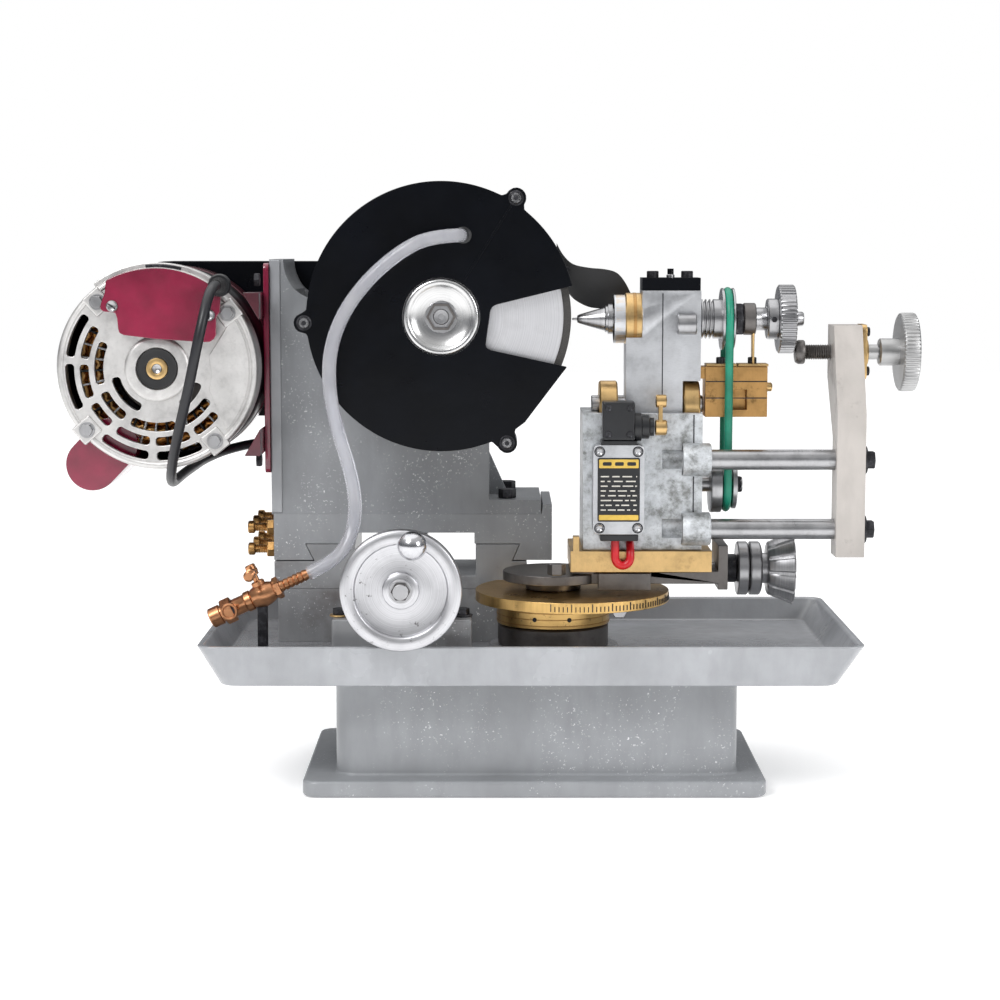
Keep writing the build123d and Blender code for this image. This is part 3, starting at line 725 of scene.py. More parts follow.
def tube(name, points, diameter, material, body, slot, sides=20, replaces=(), dome=False):
    """A round tube along points in metres, on a frame that doesn't twist."""
    bm = bmesh.new()
    rings = []
    direction = (points[1] - points[0]).normalized()
    side = direction.orthogonal().normalized()
    stations = [(point, 1.0) for point in points]
    if dome:
        radius = diameter * MM / 2
        cap = []
        for k in range(5):
            turn = math.radians(90 * (1 - k / 5))
            cap.append((points[0] - direction * radius * math.sin(turn), math.cos(turn)))
        stations = cap[1:] + stations
    for index, (point, scale) in enumerate(stations):
        ahead = stations[min(index + 1, len(stations) - 1)][0]
        behind = stations[max(index - 1, 0)][0]
        direction = (ahead - behind).normalized()
        side = (side - direction * side.dot(direction)).normalized()
        up = direction.cross(side)
        ring = []
        for k in range(sides):
            turn = 2 * math.pi * k / sides
            offset = side * math.cos(turn) + up * math.sin(turn)
            ring.append(bm.verts.new(point + offset * scale * diameter * MM / 2))
        rings.append(ring)
    for first, second in zip(rings, rings[1:]):
        bridge(bm, first, second)
    bm.faces.new(rings[0])
    bm.faces.new(rings[-1])
    return add_piece(name, mesh_from(bm, name), material, body, slot, replaces, angle=50)


CORD_ROUTE = [(-247, -72.1, 398), (-247, -91, 398), (-248.5, -110, 390), (-251, -122, 374),
              (-256, -125, 351), (-263, -118, 322), (-271, -107, 295), (-279, -91, 269),
              (-285, -68, 249), (-288, -40, 241), (-288, -8, 241.5), (-287, 25, 243),
              (-284, 57, 245), (-278, 86, 249), (-262, 108, 255), (-236, 121, 260),
              (-203, 127.5, 261), (-175, 137, 251), (-151, 144, 227), (-134, 148, 197),
              (-123, 150, 166), (-116, 152, 135), (-111, 151, 104), (-104, 152, 76),
              (-94, 153, 50), (-79, 155, 28), (-60, 159, 12), (-42.8, 167, 4.6)]
COIL_CENTRE = centre("power_cord_coil")
CORD_DIAMETER = 8.0
# one winding each: the radius, the height and the turns it takes; loose, so all differ
WINDINGS = ((51.6, 4.7, 1.0), (43.4, 5.0, 1.0), (48.0, 12.6, 0.9), (39.4, 13.0, 0.35))


def coil_points():
    """The put-away length: flat windings, laid beside and on each other."""
    arrives = CORD_ROUTE[-1]
    turn = math.atan2(arrives[1] - COIL_CENTRE[1], arrives[0] - COIL_CENTRE[0]) - 0.3
    points = []
    steps = 16
    for index, (radius, height, turns) in enumerate(WINDINGS):
        for _ in range(int(steps * turns)):
            drift = 1 + 0.012 * math.sin(2.3 * turn + index)
            points.append((COIL_CENTRE[0] + radius * drift * math.cos(turn),
                           COIL_CENTRE[1] + radius * drift * math.sin(turn), height))
            turn -= 2 * math.pi / steps
    return points


def power_cord():
    tail = low("power_plug")
    plug = centre("power_plug")
    run_out = [(tail[0] - 16, plug[1] - 3, 14.5), (tail[0] - 6, plug[1], 12.2),
               (tail[0] + 1, plug[1], 12)]
    points = nurbs_points(CORD_ROUTE + coil_points() + run_out)
    cord = tube("power_cord_jacket", points, CORD_DIAMETER, CORD, None, "black_rubber",
                replaces=("power_cord", "power_cord_coil"))
    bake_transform(cord)
    print_length("cord", points)
    plug_body = plug_pieces()


def plug_pieces():
    """A moulded two-blade plug lying on the floor beside the coil."""
    node_low, node_high = low("power_plug"), high("power_plug")
    middle = centre("power_plug")
    bm = bmesh.new()
    sections = ((0, 5.5, 5.5), (8, 6.5, 6.2), (12, 9.5, 9.0), (16, 11.6, 11.2),
                (33.2, 11.8, 11.4), (34, 11.0, 10.6))
    rings = []
    for along, wide, tall in sections:
        outline = rounded(-wide, wide, -tall, tall, min(wide, tall) * 0.7)
        rings.append([bm.verts.new(Vector((node_low[0] + along, middle[1] + y, 12 + z)) * MM)
                      for y, z in outline])
    for first, second in zip(rings, rings[1:]):
        bridge(bm, first, second)
    bm.faces.new(rings[0])
    bm.faces.new(rings[-1])
    body = add_piece("plug_body", mesh_from(bm, "plug_body"), PLASTIC, "base", "black_rubber",
                     ("power_plug",))
    blades = []
    for k, side in enumerate((-6.3, 6.3)):
        outline = rounded(node_low[0] + 33, node_high[0], 9, 15.4, 2.2)
        blades.append(plate(f"plug_blade_{k}", FRONT, [outline], -(middle[1] + side + 0.8),
                            -(middle[1] + side - 0.8), BRASS, "base", "aged_brass", bevel=0.3))
    return [body, *blades]


HOSE_ROUTE = [(-57.5, -77, 436.8), (-82, -77, 436), (-106, -78, 423), (-129, -79, 403),
              (-148, -79, 378), (-159, -78, 349), (-160, -77, 318), (-154, -76, 287),
              (-145, -74, 258), (-140, -71, 232), (-142, -67, 208), (-150, -62, 190),
              (-163.4, -60, 178.3), (-178.5, -60, 171.2)]


def water_hose():
    points = nurbs_points(HOSE_ROUTE)
    hose = tube("clear_water_hose", points, 10.8, VINYL, None, "clear_hose", sides=28,
                replaces=("water_hose",), dome=True)
    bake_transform(hose)
    print_length("hose", points)


def switch_cable():
    """The short red lead that turns back under the limit switch."""
    route = [(62.5, -87, 201.6), (62.5, -87, 193), (62.6, -87, 184), (68.5, -87, 180.4),
             (74.4, -87, 184), (74.5, -85.5, 192), (74.5, -79, 197.4), (74.5, -74.1, 198)]
    points = nurbs_points(route)
    print_length("red cable", points)
    tube("switch_cable_jacket", points, 6.5, RED, "head", "red_cable",
         replaces=("switch_cable",))


# ---- base, tray and bed ----
def face_plate(name, outlines, y0, y1, material, body, slot, **more):
    """A plate parallel to the front, its outlines in X and Z."""
    return plate(name, FRONT, outlines, -y1, -y0, material, body, slot, **more)


def column():
    """The casting, with its top corner swept down from the flange that carries the motor."""
    sweep = [(-202, 424), (-202, 417)]
    for k in range(1, 10):
        turn = math.radians(10 * k)
        sweep.append((-176 - 26 * math.cos(turn), 417 - 31 * math.sin(turn)))
    sweep += [(-150, 386), (-150, 424)]
    cutter = plate("column_cutter", FRONT, [sweep], -200, 200, GREY_SPECKLED, None, None)
    body = refine("column", GREY_SPECKLED, "saddle", "grey_enamel")
    body.modifiers.clear()
    cut = body.modifiers.new("sweep", "BOOLEAN")
    cut.operation = "DIFFERENCE"
    cut.object = cutter
    mesh = evaluated(body)
    body.modifiers.clear()
    body.data = mesh
    round_edges(body, 1.0, 3, harden=False)
    bpy.data.objects.remove(cutter)
    front = low("dovetail_bed")[1]
    block("column_flange", -213.4, -204.5, front - 1.4, front + 3, 212, 417.4, GREY_LIGHT,
          "saddle", "grey_enamel", 1.1)


def base_and_bed():
    refine("pedestal", GREY, "base", "grey_enamel", 2.6, 4)
    refine("drip_tray", GREY_LIGHT, "base", "grey_enamel", 1.6, 4)
    refine("bed_riser", GREY_DIRTY, "base", "grey_enamel", 1.2)
    refine("dovetail_bed", GREY_DIRTY, "base", "grey_enamel", 0.9)
    refine("leadscrew_bracket", GREY_DIRTY, "base", "grey_enamel", 2.0)
    refine("saddle", GREY, "saddle", "grey_enamel", 0.9)
    column()
    refine("base_screws", OXIDE, "base", "black_oxide", 0.6)
    refine("column_screws", OXIDE, "saddle", "black_oxide", 0.7)
    for k, (x, washer) in enumerate(((-152.5, BRASS), (-56.5, OXIDE))):
        spin(f"bracket_washer_{k}", frame_z(x, -78), ring(4.2, 8.2, 140.1, 141.6, 0.4), washer,
             "base", "black_oxide")
    for k, y in enumerate((16, 55, 94)):
        for level, z in (("upper", 199), ("lower", 181)):
            axis = frame_x(y, z)
            left = low("gib_screws")[0]
            thread(f"gib_screw_{level}_{k}", axis, 3.6, left, left + 19, 1.3, OLD_BRASS,
                   "saddle", "black_oxide")
            nut(f"gib_nut_{level}_{k}", axis, 12, left + 15.5, left + 21.8, OLD_BRASS,
                "saddle", "black_oxide")
            spin(f"gib_head_{level}_{k}", axis, disc_profile(5.2, left, left + 5.5, 0.8),
                 OLD_BRASS, "saddle", "black_oxide", steps=32,
                 replaces=("gib_screws",) if (level, k) == ("upper", 0) else ())


def pivot_and_disc():
    axis = frame_z(*PIVOT)
    spin("pivot_seal", axis, ring(8.2, 44, 113, 130, 1.2), DARK_STEEL, "base",
         "machined_iron", replaces=("pivot_ring",))
    refine("index_disc", DISC_BRASS, "base", "aged_brass", 0.8, 4)
    bottom = low("index_disc")[2]
    for k in range(3):
        spin(f"disc_hub_line_{k}", axis, ring(44.2, 45.25, bottom + 3 + 5 * k,
                                              bottom + 3.8 + 5 * k, 0.2),
             OLD_BRASS, "base", "aged_brass")
    x0, radius = 30.5, 77
    for k in range(46):
        turn = math.radians(-104 + 2.4 * k)
        x, y = x0 + radius * math.cos(turn), PIVOT[1] + radius * math.sin(turn)
        if y > 2:
            continue
        tick = block(f"disc_mark_{k}", -0.35, 0.35, -0.4, 0.25, 150,
                     154 if k % 5 else 156, OXIDE, "base", "black_oxide", 0)
        tick.data.transform(Matrix.Translation((x * MM, y * MM, 0))
                            @ Matrix.Rotation(turn + math.pi / 2, 4, "Z"))
    # dark discs on the hub stand for its two holes: painted shade inside the holes
    for k, turn in enumerate((250, 285)):
        t = math.radians(turn)
        place = Matrix.Translation((PIVOT[0] + 44.6 * math.cos(t), PIVOT[1] + 44.6
                                    * math.sin(t), 138.5))
        aim = place @ Matrix.Rotation(t, 4, "Z") @ Matrix.Rotation(math.pi / 2, 4, "Y")
        spin(f"hub_hole_painted_shade_{k}", aim, disc_profile(1.8, 0, 0.7, 0.1), OXIDE, "base",
             "black_oxide", steps=20)
    nut("disc_nut", frame_y(66, 147), 12, -92, -84, STEEL, "base", "bright_steel")


# ---- water supply ----
def valve():
    """The bronze water valve, leaning back on its post, and its lever."""
    turn = math.radians(25)
    valve_frame = (Matrix.Translation((-256, -60, 135)) @ Matrix.Rotation(-turn, 4, "Y")
                   @ Matrix.Rotation(math.pi / 2, 4, "Y"))
    body = [(4.0, 6), (4.0, 0), (7.2, 0), (8, 0.8), (8, 9), (7.0, 9.6), (7.0, 30), (7.6, 31),
            (8.2, 31.6), (8.2, 36)]
    body += [(7.2 + 2.6 * math.sin(math.radians(18 * k)), 36.5 + 1.9 * k) for k in range(11)]
    body += [(8, 56.6), (8, 58), (4.6, 58.4)]
    for k in range(6):
        body += [(3.7, 60.5 + 4 * k), (4.75, 61.2 + 4 * k), (4.0, 64.2 + 4 * k)]
    body += [(3.6, 86.6), (2.4, 87), (2.4, 80), (0, 80)]
    spin("valve_casting", valve_frame, [(0, 6), *body], BRONZE, "base", "valve_bronze",
         steps=64, replaces=("valve_body",))
    nut("valve_inlet_hex", valve_frame, 17.6, 11, 20, BRONZE, "base", "valve_bronze")
    nut("valve_middle_hex", valve_frame, 15.6, 56.5, 61, BRONZE, "base", "valve_bronze")
    port = Matrix.Translation((-240.5, -60, 142))
    port = port @ Matrix.Rotation(math.radians(-25), 4, "Y")
    port = port @ Matrix.Rotation(math.radians(90), 4, "X")
    spin("valve_port_ring", port, ring(4.6, 6.8, 4, 10.5, 0.7), BRONZE, "base", "valve_bronze",
         steps=48)
    # a dark disc sunk in the port ring: painted shade inside the port's bore
    spin("valve_port_painted_shade", port, disc_profile(4.8, 4, 8.6, 0.3), OXIDE, "base",
         "black_oxide", steps=40)
    stem = valve_frame @ Matrix.Translation((0, 0, 46)) @ Matrix.Rotation(-math.pi / 2, 4, "Y")
    spin("valve_stem_collar", stem, disc_profile(5.4, 6, 12, 0.8), BRONZE, "base",
         "valve_bronze", steps=40)
    spin("valve_stem", stem, solid((2.5, 12), (2.5, 16.5), (4.2, 17), (4.2, 25.2), (3.4, 26)),
         BRONZE, "valve_handle", "valve_bronze", steps=32)
    post_bottom = low("valve_body")[2]
    block("valve_clip_post", -219, -211, -63, -57, post_bottom, 146, OXIDE, "base",
          "black_oxide", 0.8)
    across = stem @ Matrix.Translation((0, 0, 20)) @ Matrix.Rotation(-math.pi / 2, 4, "X")
    rod = [(3.0, -8), (3.6, -7.2), (3.6, -3.5), (3.2, -2.5), (3.2, 14), (4.3, 14.6),
           (4.3, 17), (3.3, 17.6), (3.3, 23), (4.4, 23.8), (4.4, 26), (3, 27)]
    spin("valve_handle_rod", across, solid(*[(r, -s) for r, s in rod]), BRONZE,
         "valve_handle", "valve_bronze", steps=32, replaces=("valve_lever",))


# ---- guard, wheel and spindle ----
EARS = ((-14.6, 465.5), (-179.6, 369.0), (-21.5, 275.3))


def cover_radius(turn):
    """The cover's edge from the spindle: a circle, its ears and the chord at lower right."""
    edge = 105.0
    chord = math.radians(-37.2)
    off = (turn - chord + math.pi) % (2 * math.pi) - math.pi
    if abs(off) < math.radians(15.6):
        edge = 101.8 / math.cos(off)
    for x, z in EARS:
        dx, dz = x - SPINDLE[0], z - SPINDLE[1]
        far = math.hypot(dx, dz)
        off = (turn - math.atan2(dz, dx) + math.pi) % (2 * math.pi) - math.pi
        side = far * math.sin(off)
        if abs(off) > 0.4:
            continue
        if abs(side) < 8:
            ear = far * math.cos(off) + math.sqrt(64 - side * side)
        else:
            ear = far * math.cos(off) - 4 * (abs(side) - 8)
        edge = (edge + ear + math.sqrt((edge - ear) ** 2 + 7)) / 2
    return edge


def corner(before, here, after, radius):
    """A rounded corner of an outline, as a quadratic curve."""
    here, before, after = Vector(here), Vector(before), Vector(after)
    start = here + (before - here).normalized() * radius
    end = here + (after - here).normalized() * radius
    return [tuple(start.lerp(here, t).lerp(here.lerp(end, t), t)) for t in
            (0, 0.25, 0.5, 0.75, 1)]


def guard():
    upper, lower = (29.3, 397.7), (25.3, 334.8)
    window = [upper, (-34, 382.2), (-38.7, 348.8), lower]
    outline = []
    first = math.atan2(upper[1] - SPINDLE[1], upper[0] - SPINDLE[0])
    last = math.atan2(lower[1] - SPINDLE[1], lower[0] - SPINDLE[0]) + 2 * math.pi
    steps = 260
    for k in range(steps + 1):
        turn = first + (last - first) * k / steps
        r = cover_radius(turn)
        outline.append((SPINDLE[0] + r * math.cos(turn), SPINDLE[1] + r * math.sin(turn)))
    outline += corner(window[3], window[2], window[1], 5)
    outline += corner(window[2], window[1], window[0], 5)
    front = COVER_FRONT
    face_plate("guard_face", [outline, circle(*SPINDLE, 30.5, 72)], front, front + COVER_THICK,
               BLACK_GLOSS, "saddle", "black_gloss", bevel=0.7, replaces=("guard_cover",))
    turn = math.radians(57.6)
    step = Vector((math.cos(turn), 0, math.sin(turn)))
    middle = Vector((SPINDLE[0], front - 0.25, SPINDLE[1])) + step * 67
    strip = block("guard_fold_0", -36, 36, -0.3, 0.4, -0.9, 0.9, BLACK_GLOSS, "saddle",
                  "black_gloss", 0.25)
    strip.data.transform(Matrix.Translation(middle * MM) @ Matrix.Rotation(-turn, 4, "Y"))
    refine("wheel_guard", BLACK_GLOSS, "saddle", "black_gloss", 0.8)
    for k, centre_xz in enumerate(EARS):
        axis = frame_y(*centre_xz)
        spin(f"guard_screw_{k}", axis, [(0, front - 1.4), (1.9, front - 1.4),
             (1.9, front - 3), (3.6, front - 3), (4.2, front - 2.4), (4.2, front - 0.1),
             (0, front - 0.1)], STEEL, "saddle", "bright_steel", steps=40)
        spin(f"guard_screw_washer_{k}", axis, ring(4.3, 6, front - 0.9, front + 0.2, 0.3),
             OXIDE, "saddle", "black_oxide", steps=40)
    stub = frame_y(-55.5, 437)
    spin("hose_stub", stub, solid((6.5, front), (6.5, front - 1.6), (4.2, front - 2.4),
                                  (3.9, -77)), PLASTIC, "saddle", "black_gloss", steps=40)


def wheel():
    axis = frame_y(*SPINDLE)
    face = low("grinding_wheel")[1]
    back = high("grinding_wheel")[1]
    radius = (high("grinding_wheel")[0] - low("grinding_wheel")[0]) / 2
    spin("wheel_body", axis, [(10.1, face + 0.6), (10.6, face), (radius - 6.6, face),
                              (radius - 6, face + 0.5), (radius - 6, back - 0.5),
                              (radius - 6.6, back), (10.6, back), (10.1, back - 0.6),
                              (10.1, face + 0.6)],
         WHEEL_FACE, "wheel", "bright_steel", steps=180, replaces=("grinding_wheel",))
    spin("wheel_grit_band", axis, ring(radius - 6, radius, face + 0.3, back - 0.3, 0.7), GRIT,
         "wheel", "abrasive", steps=180)
    front = low("wheel_flange")[1]
    inner = face - 0.1
    spin("wheel_flange_cup", axis, [(10.1, inner), (27, inner), (29.5, inner - 1),
         (29.5, front + 1.4), (28.6, front + 0.3), (27.2, front), (25.4, front + 0.4),
         (24.4, front + 1.4), (22, front + 3.1), (18, front + 4.5), (14, front + 5.3),
         (11, front + 5.6), (10.1, front + 5.6), (10.1, inner)], WHEEL_HUB, "wheel",
         "bright_steel", steps=120, replaces=("wheel_flange",), angle=50)
    nut("wheel_nut", axis, 18, front + 1.2, front + 5.6, DARK_STEEL, "wheel", "bright_steel",
        hole=10.05)
    spin("wheel_nut_seat", axis, ring(10.05, 12.5, front + 4.6, front + 5.7, 0.3), STEEL,
         "wheel", "bright_steel")
    spin("spindle_end", axis, [(0, front + 6), (1.8, front + 5), (2.6, front + 3.6),
         (5.6, front + 3.4), (6.6, front + 4.3), (6.6, front + 8), (0, front + 8)], STEEL,
         "wheel", "bright_steel", steps=48)


def flap():
    """The rubber splash flap: a thin curved sheet fixed to the guard's edge."""
    top = [(18, 431), (23, 422), (31, 414.5), (44, 411.5), (56, 410.4), (66, 407.5),
           (73, 399.5), (78.5, 388.5)]
    bottom = [(19, 392), (24, 395), (32, 386.5), (43, 380.6), (54, 379.2), (63, 380.8),
              (70, 383), (77.5, 386.2)]
    count = 28
    bm = bmesh.new()

    def along(points, t):
        position = t * (len(points) - 1)
        k = min(int(position), len(points) - 2)
        before = Vector(points[max(k - 1, 0)])
        here, ahead = Vector(points[k]), Vector(points[k + 1])
        beyond = Vector(points[min(k + 2, len(points) - 1)])
        s = position - k
        return 0.5 * (2 * here + (ahead - before) * s
                      + (2 * before - 5 * here + 4 * ahead - beyond) * s ** 2
                      + (3 * here - before - 3 * ahead + beyond) * s ** 3)
    layers = []
    for thick in (0.0, 2.2):
        rows = []
        for i in range(count + 1):
            t = i / count
            upper, lower = along(top, t), along(bottom, t)
            row = []
            for j in range(9):
                x, z = upper.lerp(lower, j / 8)
                bulge = 3.0 * math.sin(math.pi * j / 8) * (0.4 + 0.6 * math.sin(math.pi * t))
                y = -24.4 + 4.4 * t ** 1.5 + bulge * 0.5 + thick
                row.append(bm.verts.new(Vector((x, y, z)) * MM))
            rows.append(row)
        layers.append(rows)
    front, back = layers
    for rows in layers:
        for i in range(count):
            for j in range(8):
                bm.faces.new((rows[i][j], rows[i + 1][j], rows[i + 1][j + 1], rows[i][j + 1]))
    for i in range(count):
        for j in (0, 8):
            bm.faces.new((front[i][j], front[i + 1][j], back[i + 1][j], back[i][j]))
    for i in (0, count):
        for j in range(8):
            bm.faces.new((front[i][j], front[i][j + 1], back[i][j + 1], back[i][j]))
    sheet = add_piece("splash_flap_sheet", mesh_from(bm, "flap"), RUBBER, "saddle",
                      "black_rubber", ("splash_flap",), bevel=0.4, angle=50)
    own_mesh(sheet)
    spin("flap_rivet", frame_y(26, 410), disc_profile(2.6, -26.6, -24.6, 0.6), OXIDE, "saddle",
         "black_oxide", steps=24)


# ---- motor ----
# rows of vents in the motor's end bell: the row's radius, and where each vent starts and ends
VENTS = ((69.5, ((143, 172), (177, 207), (231, 263), (269, 299))),
         (58, ((146, 172), (177, 203), (209, 229), (236, 263), (268, 295), (300, 322))),
         (46.5, ((154, 195), (204, 235), (243, 287), (294, 328))),
         (34, ((192, 246), (302, 340))))
BELL_SCREWS = ((-345, 384.7), (-242.2, 376), (-355, 283.4), (-253.5, 274.6))


def motor():
    front = MOTOR_FRONT
    axis = frame_y(*MOTOR)
    slots = []
    for middle, spans in VENTS:
        for start, end in spans:
            slots.append(arc_slot(*MOTOR, middle - 3.5, middle + 3.5, start, end))
    face_plate("bell_face", [circle(*MOTOR, 75, 120), *slots], front + 1.5, front + 6.5, BELL,
               "saddle", "cast_aluminium", bevel=1.1, replaces=("motor_front_bell",))
    spin("bell_rim", axis, [(74.4, front + 2), (74.9, front + 0.9), (77, front + 0.2),
         (79, front + 1.2), (80, front + 3.4), (80, front + 29.6), (79, front + 30),
         (76, front + 30), (76, front + 8), (74.4, front + 6), (74.4, front + 2)], BELL,
         "saddle", "cast_aluminium", steps=144, angle=50)
    panel = [(41, 10), *[(73 * math.cos(math.radians(t)), 73 * math.sin(math.radians(t)))
                         for t in range(34, -46, -4)], (41, -17), (43, -4)]
    face_plate("bell_plain_panel", [[(MOTOR[0] + x, MOTOR[1] + z) for x, z in panel]],
               front + 0.2, front + 3, BELL, "saddle", "cast_aluminium", bevel=0.9)
    crown = arc(*MOTOR, 83.6, 52, 127, 40) + arc(*MOTOR, 77, 127, 52, 40)
    face_plate("bell_crown", [crown], front + 5, front + 20, BELL, "saddle",
               "cast_aluminium", bevel=1.4)
    for k, (start, end) in enumerate(((76, 96), (150, 172))):
        dark = arc(*MOTOR, 82.4 - 4 * k, start, end, 10) + arc(*MOTOR, 79.8 - 2 * k, end, start,
                                                             10)
        face_plate(f"bell_crown_mark_{k}", [dark], front + 4.4, front + 5.2, OXIDE, "saddle",
                   "cast_aluminium")
    spin("bell_boss", axis, [(26, front + 3), (26, front + 0.6), (25, front - 0.6),
         (23, front - 1.2), (17, front - 1.4), (16.4, front - 0.4), (16.2, front + 4),
         (26, front + 4)], BELL, "saddle", "cast_aluminium", steps=96)
    spin("bearing_seal", axis, [(9, front + 2), (9, front - 0.6), (10.6, front - 0.9),
         (13, front - 0.4), (15.4, front - 0.9), (16.2, front - 0.2), (16.2, front + 3),
         (9, front + 3)], RUBBER, "saddle", "black_rubber", steps=72)
    spin("shaft_collar", axis, [(4, front + 2), (4, front - 1.2), (6, front - 1.8),
         (8.4, front - 1.2), (8.8, front + 2), (4, front + 2)], BRASS, "rotor", "bright_steel",
         steps=64)
    spin("shaft_end", axis, [(0, front + 0.6), (1.6, front - 0.4), (3.6, front - 1.0),
         (4, front + 0.4), (4, front + 2), (0, front + 2)], STEEL, "rotor", "bright_steel",
         steps=40)
    for k, (x, z) in enumerate(BELL_SCREWS):
        dx, dz = x - MOTOR[0], z - MOTOR[1]
        turn = math.atan2(dz, dx)
        pad = block(f"bell_pad_{k}", -9, 9.5, -0.6, 5, -8.5, 8.5, BELL, "saddle",
                    "cast_aluminium", 1.6)
        pad.data.transform(Matrix.Translation(Vector((x, front + 0.4, z)) * MM)
                           @ Matrix.Rotation(-turn, 4, "Y"))
        place = frame_y(x, z)
        nut(f"bell_screw_{k}", place, 9, front - 4.6, front - 0.4, STEEL, "saddle",
            "bright_steel")
        spin(f"bell_screw_washer_{k}", place, ring(2, 6.4, front - 0.9, front - 0.1, 0.2),
             STEEL, "saddle", "bright_steel", steps=40)
    spin("motor_tube", axis, [(76.6, -9.9), (79.2, -9.9), (80, -9), (80, 103), (79, 104),
         (20, 104), (12, 101), (8.2, 101), (8.2, 98), (74, 98), (76, 94), (76.6, -9.9)],
         BLACK_GLOSS, "saddle", "black_gloss", steps=144, replaces=("motor_shell",), angle=50)
    # the band in the darker maroon: painted shade on the maroon shell
    spin("motor_band", axis, ring(79.4, 80.6, 60, 92, 0.4), MAROON_SHADED, "saddle",
         "maroon_paint", steps=144)
    windings(axis)


def windings(axis):
    """Copper end turns that show through the bell's vents."""
    def bundle(k, _):
        return 1 + 0.02 * math.sin(k * 1.7) + 0.014 * math.sin(k * 4.1)
    spin("stator_core", axis, ring(41, 73, 14, 78, 1), OXIDE, "saddle", "copper_wire",
         steps=96, replaces=("stator_windings",))
    for k, (radius, start) in enumerate(((66, -6), (59.5, -9), (52.5, -9.5), (46, -7))):
        profile = [(radius + 3.6 * math.cos(math.radians(t)), start + 6
                    + 6 * math.sin(math.radians(t))) for t in range(0, 361, 30)]
        spin(f"winding_{k}", axis, profile, COPPER if k % 2 else OLD_BRASS, "saddle",
             "copper_wire", steps=144, bump=bundle, angle=80)
    for k in range(36):
        t = math.radians(10 * k + 3)
        x, z = MOTOR[0] + 56 * math.cos(t), MOTOR[1] + 56 * math.sin(t)
        tie = block(f"winding_tie_{k}", -12, 12, -11.6, -2, -0.9, 0.9, ALUMINIUM if k % 3 else
                    RUBBER, "saddle", "copper_wire", 0.5)
        tie.data.transform(Matrix.Translation(Vector((x, 0, z)) * MM)
                           @ Matrix.Rotation(-t, 4, "Y"))


def motor_covers():
    front = MOTOR_FRONT
    outline = arc(*MOTOR, 79.5, 58, 118, 30)
    outline += [(-336.6, 401), (-337.6, 392), (-340.6, 384), (-341.5, 379.5), (-338.8, 377.2),
                (-334, 377), (-329.6, 376.4), (-328.2, 372), (-327.6, 364), (-326.6, 360.4),
                (-323, 358.8), (-300, 356), (-262, 353.4), (-255.5, 353.4), (-252.4, 355.6),
                (-250.6, 358.6), (-250.4, 366), (-250.2, 373.2), (-247.4, 377), (-246.8, 384),
                (-246.6, 392), (-248.4, 396.6)]
    face_plate("terminal_cover_face", [outline], front - 8, front - 3.4, MAROON, "saddle",
               "maroon_paint", bevel=1.6, replaces=("terminal_cover",), segments=4)
    inner = [(MOTOR[0] + (x - MOTOR[0]) * 0.965, 383 + (z - 383) * 0.95) for x, z in outline]
    # the cover's skirt in the darker maroon: painted shade on its sides
    face_plate("terminal_cover_skirt", [inner], front - 3.6, front + 0.4, MAROON_SHADED,
               "saddle", "maroon_paint", bevel=0.5)
    for k, (x, z) in enumerate(((-332, 381.6), (-255.7, 374.6))):
        place = frame_y(x, z)
        spin(f"terminal_screw_{k}", place, [(0, front - 9.6), (1.3, front - 9.8),
             (3.4, front - 10.4), (4.4, front - 9.4), (4.6, front - 8), (0, front - 8)], STEEL,
             "saddle", "bright_steel", steps=32)
        # a dark bar across each screw head: painted shade in the screw's slot
        slot_shade_bar = block(f"terminal_screw_slot_shade_{k}", -3.3, 3.3, front - 10.7, front - 9.6,
                         -0.45, 0.45, OXIDE, "saddle", "bright_steel", 0)
        slot_shade_bar.data.transform(Matrix.Translation(Vector((x, 0, z)) * MM)
                                @ Matrix.Rotation(0.6 + k, 4, "Y"))
    start, end, radius, lean = (-338, 271), (-354, 254.5), 21, 2.36
    outline = []
    for k in range(49):
        turn = math.pi * k / 24 + lean
        x, z = end if k <= 24 else start
        outline.append((x + radius * math.cos(turn), z + radius * math.sin(turn)))
    face_plate("capacitor_can", [outline], -26, 70, MAROON, "saddle", "maroon_paint",
               bevel=6, replaces=("capacitor_cover",), segments=6, angle=60)
    gland = frame_y(-247, 398)
    back = front - 8
    spin("cord_gland_collar", gland, [(4.2, back), (9, back), (9, back - 4.4), (8, back - 6),
         (4.2, back - 6), (4.2, back)], PLASTIC, "saddle", "black_rubber", steps=48,
         replaces=("cord_gland",))
    sleeve = [(4.1, back - 5)]
    for k in range(7):
        start = back - 5.5 - 3 * k
        radius = 6.4 - 0.27 * k
        sleeve += [(radius, start), (radius, start - 1.9), (radius - 0.9, start - 2.1),
                   (radius - 0.9, start - 2.9)]
    sleeve += [(4.1, back - 26.5), (4.1, back - 5)]
    spin("cord_strain_relief", gland, sleeve, RUBBER, "saddle", "black_rubber", steps=40)


def mount_plate():
    x0, x1 = low("motor_plate")[0], high("motor_plate")[0]
    y0, y1 = 0, high("motor_plate")[1]
    outline = rounded(y0, y1, 245, 415, 5)
    slots = []
    for k in range(9):
        z = 262 + 17 * k
        slots.append(rounded(y0 + 8, y0 + 16, z - 5, z + 5, 3.5, 4))
    plate("motor_mount_plate", SIDE, [outline, *slots], x0, x1, MAROON, "saddle",
          "maroon_paint", bevel=0.6, replaces=("motor_plate",))
    for k, (z, drop) in enumerate(((392, -22), (262, 22))):
        outline = [(-218, z), (-231, z), (-218, z + drop)]
        # the brackets in the darker maroon: painted shade on them
        face_plate(f"mount_bracket_{k}", [outline], -34, 2, MAROON_SHADED, "saddle",
                   "maroon_paint", bevel=0.8)
    for k, z in enumerate((402, 258)):
        nut(f"mount_bolt_{k}", frame_x(-22, z), 10, x0 - 4.5, x0 - 0.2, OXIDE, "saddle",
            "black_oxide")


